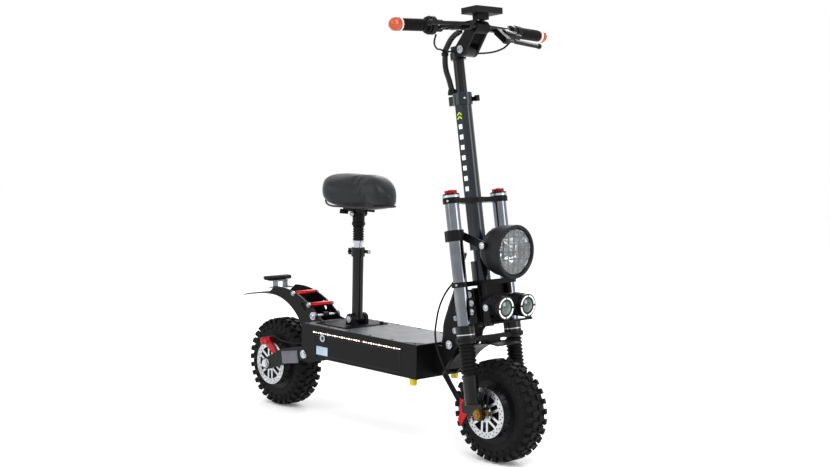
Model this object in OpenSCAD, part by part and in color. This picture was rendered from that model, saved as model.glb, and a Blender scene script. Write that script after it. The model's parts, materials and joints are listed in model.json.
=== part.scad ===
// Seated off-road electric scooter: dual-crown fork, hub motors, sprung swing arm and folding neck.
// +X points forward, +Y to the rider's left, +Z up, and Z = 0 is the ground.

/* [Wheels] */
// Outside diameter of a tyre
tyre_d = 285; // [270:1:300]
// Width of a tyre
tyre_w = 90; // [80:1:96]
// Diameter of the hub motor rim that carries the tyre
rim_d = 172; // [160:1:184]
// Diameter of a brake disc
disc_d = 139; // [130:1:144]
// Diameter of a wheel axle
axle_d = 14; // [12:1:16]
// Distance between the two axles
wheelbase = 952; // [930:1:1000]

/* [Deck] */
// Length of the deck box
deck_len = 511; // [480:1:540]
// Width of the deck box
deck_w = 223; // [205:1:270]
// Height of the deck box with its lid
deck_h = 98; // [80:1:110]
// Height of the deck's underside over the axles
deck_rise = 63; // [55:1:75]
// Wall thickness of the deck box
deck_wall = 4; // [3:0.5:6]
// Diameter of a rubber foot under the deck
foot_d = 24; // [18:1:30]
// Radius of the charging socket's bore
port_r = 5.5; // [5:0.5:8]

/* [Front end] */
// Rake angle of the steering axis
rake = 10; // [8:0.5:12]
// Distance from the deck's front to the front axle
front_reach = 220; // [216:1:236]
// Spacing of the two fork tubes
fork_spacing = 190; // [182:1:204]
// Diameter of a polished fork tube
fork_tube_d = 39; // [36:0.5:42]
// Diameter of a sliding fork rod
fork_rod_d = 26; // [24:0.5:28]
// Diameter of the stem's outer tube
stem_d = 47; // [44:0.5:50]
// Diameter of the stem's sliding tube
slider_d = 31; // [28:0.5:32]
// Height of the sliding tube's top along the steering axis
stem_top = 978; // [940:1:1010]
// Diameter of the headlight shell
headlight_d = 147; // [130:1:156]
// Diameter of a small lamp's body
lamp_d = 60; // [50:1:64]

/* [Handlebar] */
// Diameter of the handlebar tube
bar_d = 22; // [22:0.2:26]
// Distance from the middle to the end of each bar-end light
bar_half = 309; // [290:1:330]
// Diameter of a grip
grip_d = 33; // [30:0.5:36]

/* [Seat] */
// Diameter of the fixed seat tube
seat_tube_d = 34; // [32:0.5:38]
// Diameter of the sliding seat post
seat_post_d = 27; // [24:0.5:28]
// Length of the saddle
saddle_len = 270; // [250:1:300]
// Width of the saddle
saddle_w = 224; // [200:1:250]
// Height of the saddle's top above the deck
saddle_rise = 474; // [450:1:500]

/* [Rear end] */
// Spacing of the two rear bracket plates
bracket_gap = 80; // [72:1:90]
// Gap between the rear tyre's tread and the fender
fender_gap = 45; // [40:1:60]
// Diameter of the shock absorber's spring
spring_d = 38; // [34:1:42]

/* [Hidden] */
$fn = 64;
fit = 0.05;         // radial running fit of a shaft in its hole
clear = 0.6;        // free gap between pieces that move past each other
side_gap = 1.5;     // free gap between plates that turn past each other

// ---- places in the side view ----
tyre_r = tyre_d / 2;
axle_z = tyre_r;
rear_x = -462;
front_x = rear_x + wheelbase;
deck_bottom = axle_z + deck_rise;
deck_top = deck_bottom + deck_h;
deck_front = front_x - front_reach;
deck_rear = deck_front - deck_len;
lid_t = 4;

// ---- steering frame: origin on the steering axis beside the front axle ----
fork_offset = 9.1;      // fork tubes ahead of the steering axis
axle_offset = 9.5;      // axle ahead of the fork tubes
trail_u = fork_offset + axle_offset;
steer_x = front_x - trail_u * cos(rake);
steer_z = axle_z - trail_u * sin(rake);
leg_y = fork_spacing / 2;
leg_bottom = 27;        // heights along the steering axis from here on
rod_seat = 108;
collar_bottom = 194;
collar_top = 242;
head_bottom = 246;
head_top = 341;
crown_t = 14;
lower_crown_w = 346.5;
upper_crown_w = 576;
tube_top = 603;
lamp_clamp_w = 488;
stem_bottom = 445;
stem_collar_w = stem_top - 128;
stem_collar_h = 34;
head_half = 38;
neck_plate_t = 6;
pin_x = steer_x - 135.7;    // neck hinge pin
pin_z = deck_top + 4.6;
pin_r = 8;

// ---- wheel stack, distances from the middle plane ----
hub_half = 52;
disc_y = 61.4;
disc_t = 2.4;
dropout_y = 78;
dropout_t = 10;
nut_t = 8;

// ---- rear end ----
pivot_x = deck_rear - 12;
pivot_z = axle_z + 60.5;
pivot_r = 7;
arm_y = 68;
arm_t = 10;
pivot_plate_y = arm_y + arm_t + side_gap;
pivot_plate_t = 8;
shock_top = [deck_rear - 22, deck_top + 13.5];
shock_foot = [pivot_x - 45, pivot_z + 2];
shock_len = norm(shock_top - shock_foot);
shock_tilt = atan2(shock_top[0] - shock_foot[0], shock_top[1] - shock_foot[1]);
shock_pin_r = 5;
fender_r = tyre_r + fender_gap;
fender_c = [deck_rear - 239, deck_top - 128.5];
fender_t = 3;
plate_arc_r = 292;
plate_arc_c = [deck_rear - 199, deck_top - 204.5];
plate_t = 5;
spacer_at = [[deck_rear - 123, deck_top + 73.5], [deck_rear - 45, deck_top + 45.5]];
chamfer = 24;           // slope that clears the swing arm at the box's lower rear edge

// ---- seat ----
seat_x = deck_rear + 131;
plate_seat_t = 4;
seat_hinge_z = deck_top + plate_seat_t + 16;
seat_tube_top = deck_top + 212;
seat_collar_h = 28;
spring_low = deck_top + 255;
spring_high = deck_top + 313;
saddle_low = deck_top + 364;
saddle_top = deck_top + saddle_rise;
saddle_rear = deck_rear + 15;

// ---- handlebar ----
pivot_ahead = 36.425;       // handlebar pivot ahead of the steering axis
pivot_w = stem_top + 21.56;
stem_pivot = [
    steer_x + pivot_ahead * cos(rake) - pivot_w * sin(rake), steer_z + pivot_ahead * sin(rake) + pivot_w * cos(rake)
];
bar_c = [stem_pivot[0] + 42, stem_pivot[1] + 60];
bar_sweep = 5.5;
bar_drop = 1.8;
bar_straight = 40;
light_len = 40;
grip_out = bar_half - light_len;
grip_in = 181;
pod_y = 165;

// ---- lamps ----
headlight_c = [front_x + 42.5, axle_z + 441];
headlight_pin = [front_x - 11, axle_z + 457.5];
lamp_face = [front_x + 52, axle_z + 292.5];
lamp_pin = [front_x + 15, axle_z + 292.5];
lamp_y = 43.7;
lamp_len = 68;
ear_y = 80;

// ---- helpers ----
module both_sides() {
    children();
    mirror([0, 1, 0]) children();
}

// Puts children in the steering frame.
module in_steer() {
    translate([steer_x, 0, steer_z]) rotate([0, -rake, 0]) children();
}

// A plate in the side view, from y to y + t.
module side_plate(y, t) {
    translate([0, y + t, 0]) rotate([90, 0, 0]) linear_extrude(t) children();
}

// A cylinder along Y centred on the point p = [x, z], from y to y + h.
module cross_rod(p, y, h, r) {
    translate([p[0], y + h, p[1]]) rotate([90, 0, 0]) cylinder(h = h, r = r);
}

// A flat ring standing on the XY plane.
module ring(r_out, r_in, h) {
    difference() {
        cylinder(h = h, r = r_out);
        translate([0, 0, -1]) cylinder(h = h + 2, r = r_in);
    }
}

// A ring along Y centred on the point p.
module cross_ring(p, y, h, r_out, r_in) {
    difference() {
        cross_rod(p, y, h, r_out);
        cross_rod(p, y - 1, h + 2, r_in);
    }
}

// A hexagon nut along Y.
module cross_nut(p, y, h, across) {
    translate([p[0], y + h, p[1]]) rotate([90, 0, 0]) cylinder(h = h, d = across / cos(30), $fn = 6);
}

// Points of an arc about c, from angle a0 to a1.
function arc(c, r, a0, a1, n) = [for (i = [0:n]) let (a = a0 + (a1 - a0) * i / n) c + r * [cos(a), sin(a)]];
function flip(p) = [for (i = [len(p) - 1:-1:0]) p[i]];
function unit(v) = v / norm(v);

// A smooth curve through the route's points.
function spline_at(a, b, c, d, t) =
    ((2 * b) + (c - a) * t + (2 * a - 5 * b + 4 * c - d) * t * t + (3 * b - a - 3 * c + d) * t * t * t) / 2;
function smooth(p, n) = concat([
    for (i = [0:len(p) - 2]) for (k = [0:n - 1])
        spline_at(p[max(i - 1, 0)], p[i], p[i + 1], p[min(i + 2, len(p) - 1)], k / n)
], [p[len(p) - 1]]);

// A round cable along a route.
module cable(route, r, across = [0, 1, 0], steps = 3, sides = 8) {
    path = smooth(route, steps);
    last = len(path) - 1;
    skin = [
        for (i = [0:last])
            let (t = unit(path[min(i + 1, last)] - path[max(i - 1, 0)]),
                 n = unit(cross(t, across)),
                 b = cross(t, n))
            for (k = [0:sides - 1]) path[i] + r * (cos(360 * k / sides) * n + sin(360 * k / sides) * b)
    ];
    walls = [
        for (i = [0:last - 1]) for (k = [0:sides - 1])
            [i * sides + k, (i + 1) * sides + k,
             (i + 1) * sides + (k + 1) % sides, i * sides + (k + 1) % sides]
    ];
    start = [for (k = [0:sides - 1]) k];
    finish = [for (k = [sides - 1:-1:0]) last * sides + k];
    polyhedron(points = skin, faces = concat(walls, [start], [finish]), convexity = 6);
}

// ---- deck ----
hinge_lug_y = head_half - side_gap - 10;

module hinge_lug() {
    side_plate(hinge_lug_y, 10) difference() {
        polygon([
            [deck_front - 2, deck_bottom + 8], [deck_front + 24, deck_bottom + 8],
            [pin_x + 12, pin_z - 16], [pin_x + 18, pin_z - 4], [pin_x + 14, pin_z + 12], [pin_x, pin_z + 17],
            [pin_x - 16, pin_z + 10], [deck_front + 26, deck_top - 6], [deck_front - 2, deck_top - 6]
        ]);
        translate([pin_x, pin_z]) circle(pin_r);
    }
}

module pivot_plate() {
    side_plate(pivot_plate_y, pivot_plate_t) difference() {
        union() {
            polygon([
                [pivot_x - 2, pivot_z - 21], [pivot_x + 16, pivot_z - 23], [pivot_x + 75, deck_bottom - 14],
                [pivot_x + 82, deck_bottom], [pivot_x + 14, deck_bottom], [pivot_x, pivot_z + 21]
            ]);
            translate([pivot_x, pivot_z]) circle(21);
        }
        translate([pivot_x, pivot_z]) circle(pivot_r);
    }
}

// Side view of the box, drawn in by the distance w on every side.
module box_outline(w) {
    slope = w * tan(22.5);
    polygon([
        [deck_rear + w, deck_bottom + chamfer + slope], [deck_rear + w, deck_top - lid_t],
        [deck_front - w, deck_top - lid_t], [deck_front - w, deck_bottom + w],
        [deck_rear + chamfer + slope, deck_bottom + w]
    ]);
}

stand_lug_y = 74;
module deck_shell() color("#17191c") {
    difference() {
        union() {
            side_plate(-deck_w / 2, deck_w) box_outline(0);
            both_sides() hinge_lug();
            both_sides() pivot_plate();
            translate([stand_at[0] - 11, stand_lug_y, stand_at[2] - 10]) cube([22, 10, deck_bottom - stand_at[2] + 11]);
        }
        side_plate(-deck_w / 2 + deck_wall, deck_w - 2 * deck_wall) box_outline(deck_wall);
        translate([deck_rear + deck_wall, -deck_w / 2 + deck_wall, deck_top - 40])
            cube([deck_len - 2 * deck_wall, deck_w - 2 * deck_wall, 60]);
        port_hole(port_boss_r);
        at_stand_pivot() cylinder(h = 80, r = stand_pin_r, center = true);
    }
}

module deck_lid() color("#8f9299") {
    translate([deck_rear, -deck_w / 2, deck_top - lid_t]) cube([deck_len, deck_w, lid_t]);
}

// Battery in the middle of the box, with one motor controller at each end.
battery = [250, 190, 74];
controller = [70, 150, 40];
module deck_electronics() color("#2f5fa8") {
    base_z = deck_bottom + deck_wall;
    first_x = deck_rear + chamfer + deck_wall + 4;
    translate([first_x, -controller[1] / 2, base_z]) cube(controller);
    translate([first_x + controller[0] + 10, -battery[1] / 2, base_z]) cube(battery);
    translate([deck_front - deck_wall - 8 - controller[0], -controller[1] / 2, base_z]) cube(controller);
}

foot_h = 24;
foot_at = [for (s = [-1, 1]) [deck_front - 40, s * (deck_w / 2 - 27.5)]];
module deck_feet() color("#d8d21a") {
    for (p = foot_at) translate([p[0], p[1], deck_bottom - foot_h]) {
        cylinder(h = foot_h - 4, d1 = foot_d - 3, d2 = foot_d);
        translate([0, 0, foot_h - 4]) cylinder(h = 4, d = foot_d);
    }
}

// Charging socket on the right-hand side wall.
port_boss_r = port_r + 2.5;
port_at = [deck_rear + 102, deck_top - 34];
module port_hole(r) {
    cross_rod(port_at, -deck_w / 2 - 5, 20, r);
}
module charge_port() color("#9a9da3") {
    difference() {
        union() {
            cross_rod(port_at, -deck_w / 2, 14, port_boss_r);
            cross_rod(port_at, -deck_w / 2 - 2, 2, port_boss_r + 2.5);
        }
        cross_rod(port_at, -deck_w / 2 - 3, 12, port_r);
    }
}

// ---- seat mount, tube and saddle ----
lug_half = 17;
lug_t = 12;
module seat_plate() color("#202226") {
    plate_len = 142;
    plate_half = 84;
    difference() {
        union() {
            translate([seat_x - 94, -plate_half, deck_top]) cube([plate_len, 2 * plate_half, plate_seat_t]);
            both_sides() {
                translate([seat_x - 18, lug_half + side_gap, deck_top]) cube([36, lug_t, seat_hinge_z - deck_top]);
                cross_rod([seat_x, seat_hinge_z], lug_half + side_gap, lug_t, 18);
            }
        }
        cross_rod([seat_x, seat_hinge_z], -60, 120, seat_pin_r);
    }
    both_sides() for (x = [seat_x - 84, seat_x + 38])
        translate([x, 66, deck_top + plate_seat_t]) cylinder(h = 5, r = 6);
}

seat_pin_r = 6;
module seat_tube() color("#1b1d20") {
    difference() {
        union() {
            cross_rod([seat_x, seat_hinge_z], -lug_half, 2 * lug_half, 15);
            translate([seat_x, 0, seat_hinge_z]) cylinder(h = seat_tube_top - seat_hinge_z, d = seat_tube_d);
            translate([seat_x, 0, seat_tube_top]) cylinder(h = seat_collar_h, d = seat_tube_d + 8);
            both_sides() translate([seat_x - 34, 3, seat_tube_top + 4]) cube([20, 8, seat_collar_h - 8]);
        }
        translate([seat_x, 0, seat_hinge_z + 22]) cylinder(h = 400, d = seat_post_d + 2 * fit);
        cross_rod([seat_x, seat_hinge_z], -60, 120, seat_pin_r + fit);
        translate([seat_x - 40, -3, seat_tube_top + 1]) cube([40, 6, seat_collar_h]);
    }
    cross_rod([seat_x - 27, seat_tube_top + seat_collar_h / 2], -16, 26, 4);
}

// Cam lever of the seat clamp, lying along the collar.
seat_cam = [seat_x - 27, seat_tube_d / 2 + 3];
module seat_lever() color("#b9bcc2") {
    mid_z = seat_tube_top + seat_collar_h / 2;
    translate([seat_cam[0], seat_cam[1], mid_z - 8]) cylinder(h = 16, r = 6);
    translate([seat_cam[0], seat_cam[1] + 2, mid_z - 5]) cube([48, 4, 10]);
    translate([seat_cam[0] + 48, seat_cam[1] + 5, mid_z]) cylinder(h = 12, r = 6, center = true);
}

module seat_post() color("#c9ccd1") {
    translate([seat_x, 0, seat_hinge_z + 60]) cylinder(h = spring_low - seat_hinge_z - 60, d = seat_post_d);
    translate([seat_x, 0, spring_low]) cylinder(h = 6, r = 18);
    translate([seat_x, 0, spring_low + 6]) cylinder(h = spring_high - spring_low + 2, r = 9);
}

module ribbed(r_out, r_in, h, ribs) {
    pitch = h / ribs;
    rotate_extrude() difference() {
        translate([r_in, 0]) square([r_out - r_in, h]);
        for (i = [1:ribs - 1]) translate([r_out, i * pitch]) circle(d = pitch * 0.75, $fn = 24);
    }
}

module seat_spring() color("#141517") {
    translate([seat_x, 0, spring_low + 6]) ribbed(18, 12.5, spring_high - spring_low - 12, 7);
}

// The suspension cup, the clamp under the saddle and the saddle itself.
module saddle() {
    color("#1d1e21") {
        difference() {
            union() {
                translate([seat_x, 0, spring_high - 6]) cylinder(h = saddle_low - spring_high + 14, r = 19);
                cross_rod([seat_x, saddle_low - 18], -30, 60, 9);
            }
            translate([seat_x, 0, spring_high - 7]) cylinder(h = 40, r = 9 + fit);
        }
    }
    color("#232326") saddle_pad();
}

module saddle_pad() {
    half = saddle_w / 2;
    thick = saddle_top - saddle_low;
    intersection() {
        translate([0, 0, saddle_low]) linear_extrude(thick) saddle_plan(half);
        side_plate(-half, saddle_w) saddle_side(thick);
    }
}

module saddle_plan(half) {
    hull() {
        translate([saddle_rear + 78, half - 74]) circle(74);
        translate([saddle_rear + 78, -half + 74]) circle(74);
        translate([saddle_rear + saddle_len - 45, 0]) circle(45);
    }
}

module saddle_side(thick) {
    polygon([
        [saddle_rear - 2, saddle_low + 40], [saddle_rear + 14, saddle_low + 8], [saddle_rear + 60, saddle_low],
        [saddle_rear + 170, saddle_low + 10], [saddle_rear + saddle_len - 30, saddle_low + 2],
        [saddle_rear + saddle_len - 4, saddle_low + 12], [saddle_rear + saddle_len, saddle_low + 34],
        [saddle_rear + saddle_len - 18, saddle_low + 62], [saddle_rear + 190, saddle_low + 84],
        [saddle_rear + 120, saddle_low + 92], [saddle_rear + 50, saddle_low + thick],
        [saddle_rear + 14, saddle_low + 96], [saddle_rear, saddle_low + 70]
    ]);
}

// ---- rear brackets, fender and light ----
plate_front = deck_rear + 36;
module bracket_outline() {
    difference() {
        polygon(concat(
            arc(plate_arc_c, plate_arc_r, 95, 47, 14),
            [[plate_front, deck_top], [deck_rear, deck_top], [deck_rear, deck_top - 46], [deck_rear - 40, deck_top - 42]],
            arc(fender_c, fender_r + fender_t + 1, 32, 95, 12)
        ));
        for (p = spacer_at) translate(p) circle(4);
        translate(shock_top) circle(shock_pin_r);
        hull() {
            translate([deck_rear - 79, deck_top + 42]) circle(8);
            translate([deck_rear - 69, deck_top + 27]) circle(6);
        }
    }
}

// Two curved plates, held apart by red tubes.
module rear_brackets() {
    color("#141618") both_sides() side_plate(bracket_gap / 2, plate_t) bracket_outline();
    color("#9c1420") for (p = spacer_at) cross_ring(p, -bracket_gap / 2, bracket_gap, 7, 4);
}

tail_r = 617;
tail_arc = 14.2;
module rear_fender() color("#101113") {
    top = fender_c + [0, fender_r];
    far = top - [0, tail_r];
    inner = concat(arc(fender_c, fender_r, 32, 90, 16), arc(far, tail_r, 91, 90 + tail_arc, 6));
    outer = concat(arc(fender_c, fender_r + fender_t, 32, 90, 16), arc(far, tail_r + fender_t, 91, 90 + tail_arc, 6));
    side_plate(-bracket_gap / 2 - plate_t, bracket_gap + 2 * plate_t) polygon(concat(inner, flip(outer)));
}

light_at = [deck_rear - 264, deck_top + 106];
module tail_light() {
    color("#8b8e94") {
        both_sides() translate([light_at[0] - 2, 16, fender_c[1] + fender_r + fender_t])
            cube([26, 4, light_at[1] - 5 - fender_c[1] - fender_r - fender_t]);
        translate([light_at[0] - 12, -30, light_at[1] - 8]) cube([30, 60, 3]);
    }
    color("#1a1a1c") translate([light_at[0] - 15, -50, light_at[1] - 5]) cube([26, 100, 14]);
    color("#c01822") translate([light_at[0] - 20, -50, light_at[1] - 5]) cube([5, 100, 14]);
}

bolt_end = 6;
module frame_bolts() color("#c4c6ca") {
    outer = bracket_gap / 2 + plate_t;
    for (p = spacer_at) {
        cross_rod(p, -outer, 2 * outer, 4);
        both_sides() cross_rod(p, outer, bolt_end, 7);
    }
    cross_rod(shock_top, -outer, 2 * outer, shock_pin_r);
    both_sides() {
        cross_rod(shock_top, outer, 2, 12);
        cross_rod(shock_top, outer + 2, bolt_end, 8);
    }
    swing_end = pivot_plate_y + pivot_plate_t;
    cross_rod([pivot_x, pivot_z], -swing_end, 2 * swing_end, pivot_r);
    both_sides() {
        cross_rod([pivot_x, pivot_z], swing_end, 2, 13);
        cross_rod([pivot_x, pivot_z], swing_end + 2, bolt_end, 9);
    }
    neck_end = head_half + neck_plate_t;
    cross_rod([pin_x, pin_z], -neck_end - 1, 2 * neck_end + 2, pin_r);
    both_sides() cross_rod([pin_x, pin_z], neck_end + 1, 5, pin_r + 4);
    seat_end = lug_half + side_gap + lug_t;
    cross_rod([seat_x, seat_hinge_z], -seat_end, 2 * seat_end, seat_pin_r);
    both_sides() cross_rod([seat_x, seat_hinge_z], seat_end, 5, 10);
}

// ---- neck ----
module neck_outline() {
    difference() {
        polygon([
            [-34, head_top - 3], [8, head_top - 3], [10, head_bottom], [-30, head_bottom - 4],
            [-56, head_bottom - 28], [-66, head_bottom - 54], [-92, head_bottom - 72],
            [-118, head_bottom - 70], [-124, head_bottom - 41], [-112, head_bottom + 12],
            [-90, head_bottom + 49], [-52, head_bottom + 84]
        ]);
        translate(pin_local) circle(pin_r + fit);
    }
}
pin_local = [
    (pin_x - steer_x) * cos(rake) + (pin_z - steer_z) * sin(rake),
    (steer_x - pin_x) * sin(rake) + (pin_z - steer_z) * cos(rake)
];
bearing_r = 24;
steerer_r = 15;
bearing_t = 12;

module neck_frame() color("#121315") {
    in_steer() {
        both_sides() side_plate(head_half, neck_plate_t) neck_outline();
        difference() {
            union() {
                translate([0, 0, head_bottom]) cylinder(h = head_top - head_bottom, r = 31);
                translate([-28, -head_half, head_bottom]) cube([38, 2 * head_half, head_top - head_bottom - 3]);
                translate([-76, -head_half, head_bottom - 6]) cube([10, 2 * head_half, 62]);
            }
            translate([0, 0, head_bottom - 1]) cylinder(h = bearing_t + 1, r = bearing_r);
            translate([0, 0, head_top - bearing_t]) cylinder(h = bearing_t + 1, r = bearing_r);
            translate([0, 0, head_bottom - 1]) cylinder(h = head_top, r = steerer_r + 3);
        }
        both_sides() for (p = [[-6, 60], [-2, 36], [-4, 12], [-78, -36]])
            cross_rod([p[0], head_bottom + p[1] + 18], head_half + neck_plate_t, 4, 6);
    }
}

module head_bearings() color("#b5b8bd") {
    in_steer() for (w = [head_bottom, head_top - bearing_t])
        translate([0, 0, w]) ring(bearing_r, steerer_r + fit, bearing_t);
}

// ---- fork ----
module at_legs() {
    both_sides() translate([fork_offset, leg_y, 0]) children();
}

tab_u = 60;         // the lower crown's forward tab, which carries the small lamps
tab_half = 60;
module crown_outline(centre_r, tab) {
    difference() {
        union() {
            translate([0, -tab_half]) square([tab, 2 * tab_half]);
            circle(centre_r + 9);
            both_sides() translate([fork_offset, leg_y]) circle(d = fork_tube_d + 10);
            translate([-12, -leg_y]) square([36, 2 * leg_y]);
        }
        both_sides() translate([fork_offset, leg_y]) circle(d = fork_tube_d);
        circle(centre_r);
    }
}

module fork_crowns() color("#17181a") {
    in_steer() {
        translate([0, 0, lower_crown_w]) linear_extrude(crown_t) crown_outline(steerer_r, tab_u);
        translate([0, 0, upper_crown_w]) linear_extrude(crown_t) crown_outline(stem_d / 2, 24);
    }
}

tube_bore = fork_tube_d / 2 - 3.5;
module fork_tubes() color("#b8bcc4") {
    in_steer() at_legs() translate([0, 0, collar_bottom + 18])
        ring(fork_tube_d / 2, tube_bore, tube_top - collar_bottom - 18);
}

collar_r = fork_tube_d / 2 + 5.5;
module fork_collars() {
    in_steer() at_legs() {
        color("#141517") difference() {
            translate([0, 0, collar_bottom]) cylinder(h = collar_top - collar_bottom, r = collar_r);
            translate([0, 0, collar_bottom - 1]) cylinder(h = 60, r = fork_rod_d / 2 + fit);
            translate([0, 0, collar_bottom + 18]) cylinder(h = 60, d = fork_tube_d);
        }
        color("#1a1b1d") translate([0, 0, upper_crown_w + crown_t]) ring(collar_r - 2, fork_tube_d / 2, 13);
        color("#c2182b") difference() {
            translate([0, 0, tube_top]) cylinder(h = 9, r = 17);
            for (a = [0:60:300]) rotate([0, 0, a]) translate([17, 0, tube_top + 4]) cylinder(h = 10, r = 4);
        }
    }
}

bellows_low = rod_seat + 2;
module fork_bellows() color("#101112") {
    in_steer() at_legs() translate([0, 0, bellows_low])
        ribbed(collar_r - 1, fork_rod_d / 2 + 1.5, collar_bottom - bellows_low, 9);
}

lower_r = 21;
module fork_lowers() color("#131416") {
    in_steer() {
        at_legs() {
            translate([0, 0, rod_seat - 12]) cylinder(h = tube_top - rod_seat - 110, d = fork_rod_d);
            translate([0, 0, leg_bottom]) cylinder(h = rod_seat - leg_bottom, r = lower_r);
        }
        difference() {
            both_sides() {
                side_plate(dropout_y, dropout_t) union() {
                    translate([trail_u, 0]) circle(19);
                    polygon([
                        [-8, leg_bottom + 34], [-42, 28], [-42, 6], [-4, -6],
                        [trail_u - 12, -14], [trail_u + 16, 4], [26, leg_bottom + 34]
                    ]);
                }
            }
            cross_rod([trail_u, 0], -120, 240, axle_d / 2);
        }
    }
}

// Axle with its nuts and, inside the wheel, the motor's stator.
module wheel_axle(x, inner, outer) {
    p = [x, axle_z];
    cross_rod(p, -outer - nut_t - 2, 2 * (outer + nut_t + 2), axle_d / 2);
    cross_rod(p, -inner, 2 * inner, axle_d / 2 + 3);
    cross_rod(p, -stator_half, 2 * stator_half, stator_r);
    both_sides() {
        cross_ring(p, outer, 2, axle_d / 2 + 8, axle_d / 2);
        difference() {
            cross_nut(p, outer + 2, nut_t - 2, 24);
            cross_rod(p, outer, nut_t + 2, axle_d / 2);
        }
    }
}
stator_half = 17;
stator_r = rim_d / 2 - 22;

module front_axle() color("#c09a4b") wheel_axle(front_x, dropout_y, dropout_y + dropout_t);
module rear_axle() color("#c4c6ca") wheel_axle(rear_x, arm_y, arm_y + arm_t);

// Caliper around the disc's edge: two halves with a slot for the disc, and a bridge behind it.
caliper_half = 13;
module caliper_block() {
    difference() {
        union() {
            translate([-20, -caliper_half, -13]) cube([40, 2 * caliper_half, 24]);
            cross_rod([-9, -1], -caliper_half - 3, 4, 9);
            cross_rod([10, -1], -caliper_half - 3, 4, 9);
        }
        translate([-25, -disc_t / 2 - 1, -14]) cube([50, disc_t + 2, 19]);
    }
}

front_caliper_angle = 172;
module front_caliper() color("#b3202c") {
    reach = disc_d / 2 + 4;
    spot = [front_x + reach * cos(front_caliper_angle), axle_z + reach * sin(front_caliper_angle)];
    translate([spot[0], -disc_y, spot[1]]) rotate([0, 90 - front_caliper_angle, 0]) caliper_block();
    in_steer() side_plate(-dropout_y, 4) polygon([[-72, -14], [-44, 30], [-6, 30], [-6, 4], [-40, -4], [-62, -34]]);
}

// ---- wheels ----
module tyre(x) {
    half = tyre_w / 2;
    bead = rim_d / 2;
    shoulder = tyre_r - 16;
    translate([x, 0, axle_z]) rotate([90, 0, 0]) rotate_extrude($fn = 96) polygon([
        [bead, -half + 16], [bead + 12, -half + 6], [bead + 30, -half], [shoulder, -half + 1],
        [tyre_r - 4, -half + 12], [tyre_r, -half + 24], [tyre_r, half - 24],
        [tyre_r - 4, half - 12], [shoulder, half - 1], [bead + 30, half], [bead + 12, half - 6],
        [bead, half - 16], [bead, half - 24], [bead + 10, half - 22], [shoulder, half - 14],
        [tyre_r - 12, half - 26], [tyre_r - 12, -half + 26], [shoulder, -half + 14],
        [bead + 10, -half + 22], [bead, -half + 24]
    ]);
}
module front_tyre() color("#191919") tyre(front_x);
module rear_tyre() color("#191919") tyre(rear_x);

// Rim with the motor's covers; the inside is hollow for the stator.
module hub(x) {
    p = [x, axle_z];
    rim_half = tyre_w / 2 - 14;
    cover_r = disc_d / 2 - 10;
    difference() {
        union() {
            cross_rod(p, -rim_half, 2 * rim_half, rim_d / 2);
            cross_rod(p, -hub_half, 2 * hub_half, cover_r);
            cross_rod(p, -disc_y + disc_t / 2, 2 * disc_y - disc_t, 26);
        }
        cross_rod(p, -stator_half - 3, 2 * stator_half + 6, stator_r + 2);
        cross_rod(p, -80, 160, axle_d / 2 + 3 + fit);
        for (a = [30:60:330]) cross_rod(p + (cover_r - 8) * [cos(a), sin(a)], -hub_half - 1, 5, 3);
    }
}
module front_hub() color("#1c1e21") hub(front_x);
module rear_hub() color("#1c1e21") hub(rear_x);

// Drilled disc: an outer ring with two rows of holes, on six pairs of slanting spokes.
module disc(x) {
    ring_in = disc_d / 2 - 17;
    translate([x, -disc_y + disc_t / 2, axle_z]) rotate([90, 0, 0]) difference() {
        union() {
            ring(disc_d / 2, ring_in, disc_t);
            cylinder(h = disc_t, r = 25);
            for (a = [0:60:300], s = [-1, 1]) rotate([0, 0, a + s * 6]) translate([21, 0, 0.2])
                rotate([0, 0, s * 22]) translate([0, -3.5, 0]) cube([ring_in - 18, 7, disc_t - 0.4]);
        }
        translate([0, 0, -1]) {
            cylinder(h = disc_t + 2, r = axle_d / 2 + 3 + fit);
            for (a = [30:60:330]) rotate([0, 0, a]) translate([19, 0, 0]) cylinder(h = disc_t + 2, r = 2.5);
            for (a = [0:15:345]) rotate([0, 0, a]) translate([disc_d / 2 - 5, 0, 0]) cylinder(h = disc_t + 2, r = 2.2);
            for (a = [0:15:345]) rotate([0, 0, a + 7.5]) translate([disc_d / 2 - 11.5, 0, 0])
                cylinder(h = disc_t + 2, r = 2.2);
        }
    }
}
module front_disc() color("#c9cccf") disc(front_x);
module rear_disc() color("#c9cccf") disc(rear_x);

// ---- front mudguard ----
guard_r = tyre_r + 44;
guard_t = 3;
guard_half = tyre_w / 2 + 1;
module front_mudguard() color("#131416") {
    in_steer() {
        side_plate(-guard_half, 2 * guard_half) translate([trail_u, 0]) polygon(concat(
            arc([0, 0], guard_r, 72, 140, 18), flip(arc([0, 0], guard_r + guard_t, 72, 140, 18))
        ));
        difference() {
            union() {
                translate([-6, -leg_y, collar_bottom + 3]) cube([32, 2 * leg_y, 12]);
                at_legs() translate([0, 0, collar_bottom + 3]) cylinder(h = 12, r = collar_r + 4);
                translate([-6, -24, guard_r - 2]) cube([32, 48, collar_bottom + 5 - guard_r]);
            }
            at_legs() translate([0, 0, collar_bottom]) cylinder(h = 30, r = collar_r);
        }
    }
}

// ---- stem ----
stem_flat = 19.5;
module stem_section() {
    intersection() {
        circle(d = stem_d);
        square([stem_d + 2, 2 * stem_flat], center = true);
    }
}

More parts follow.
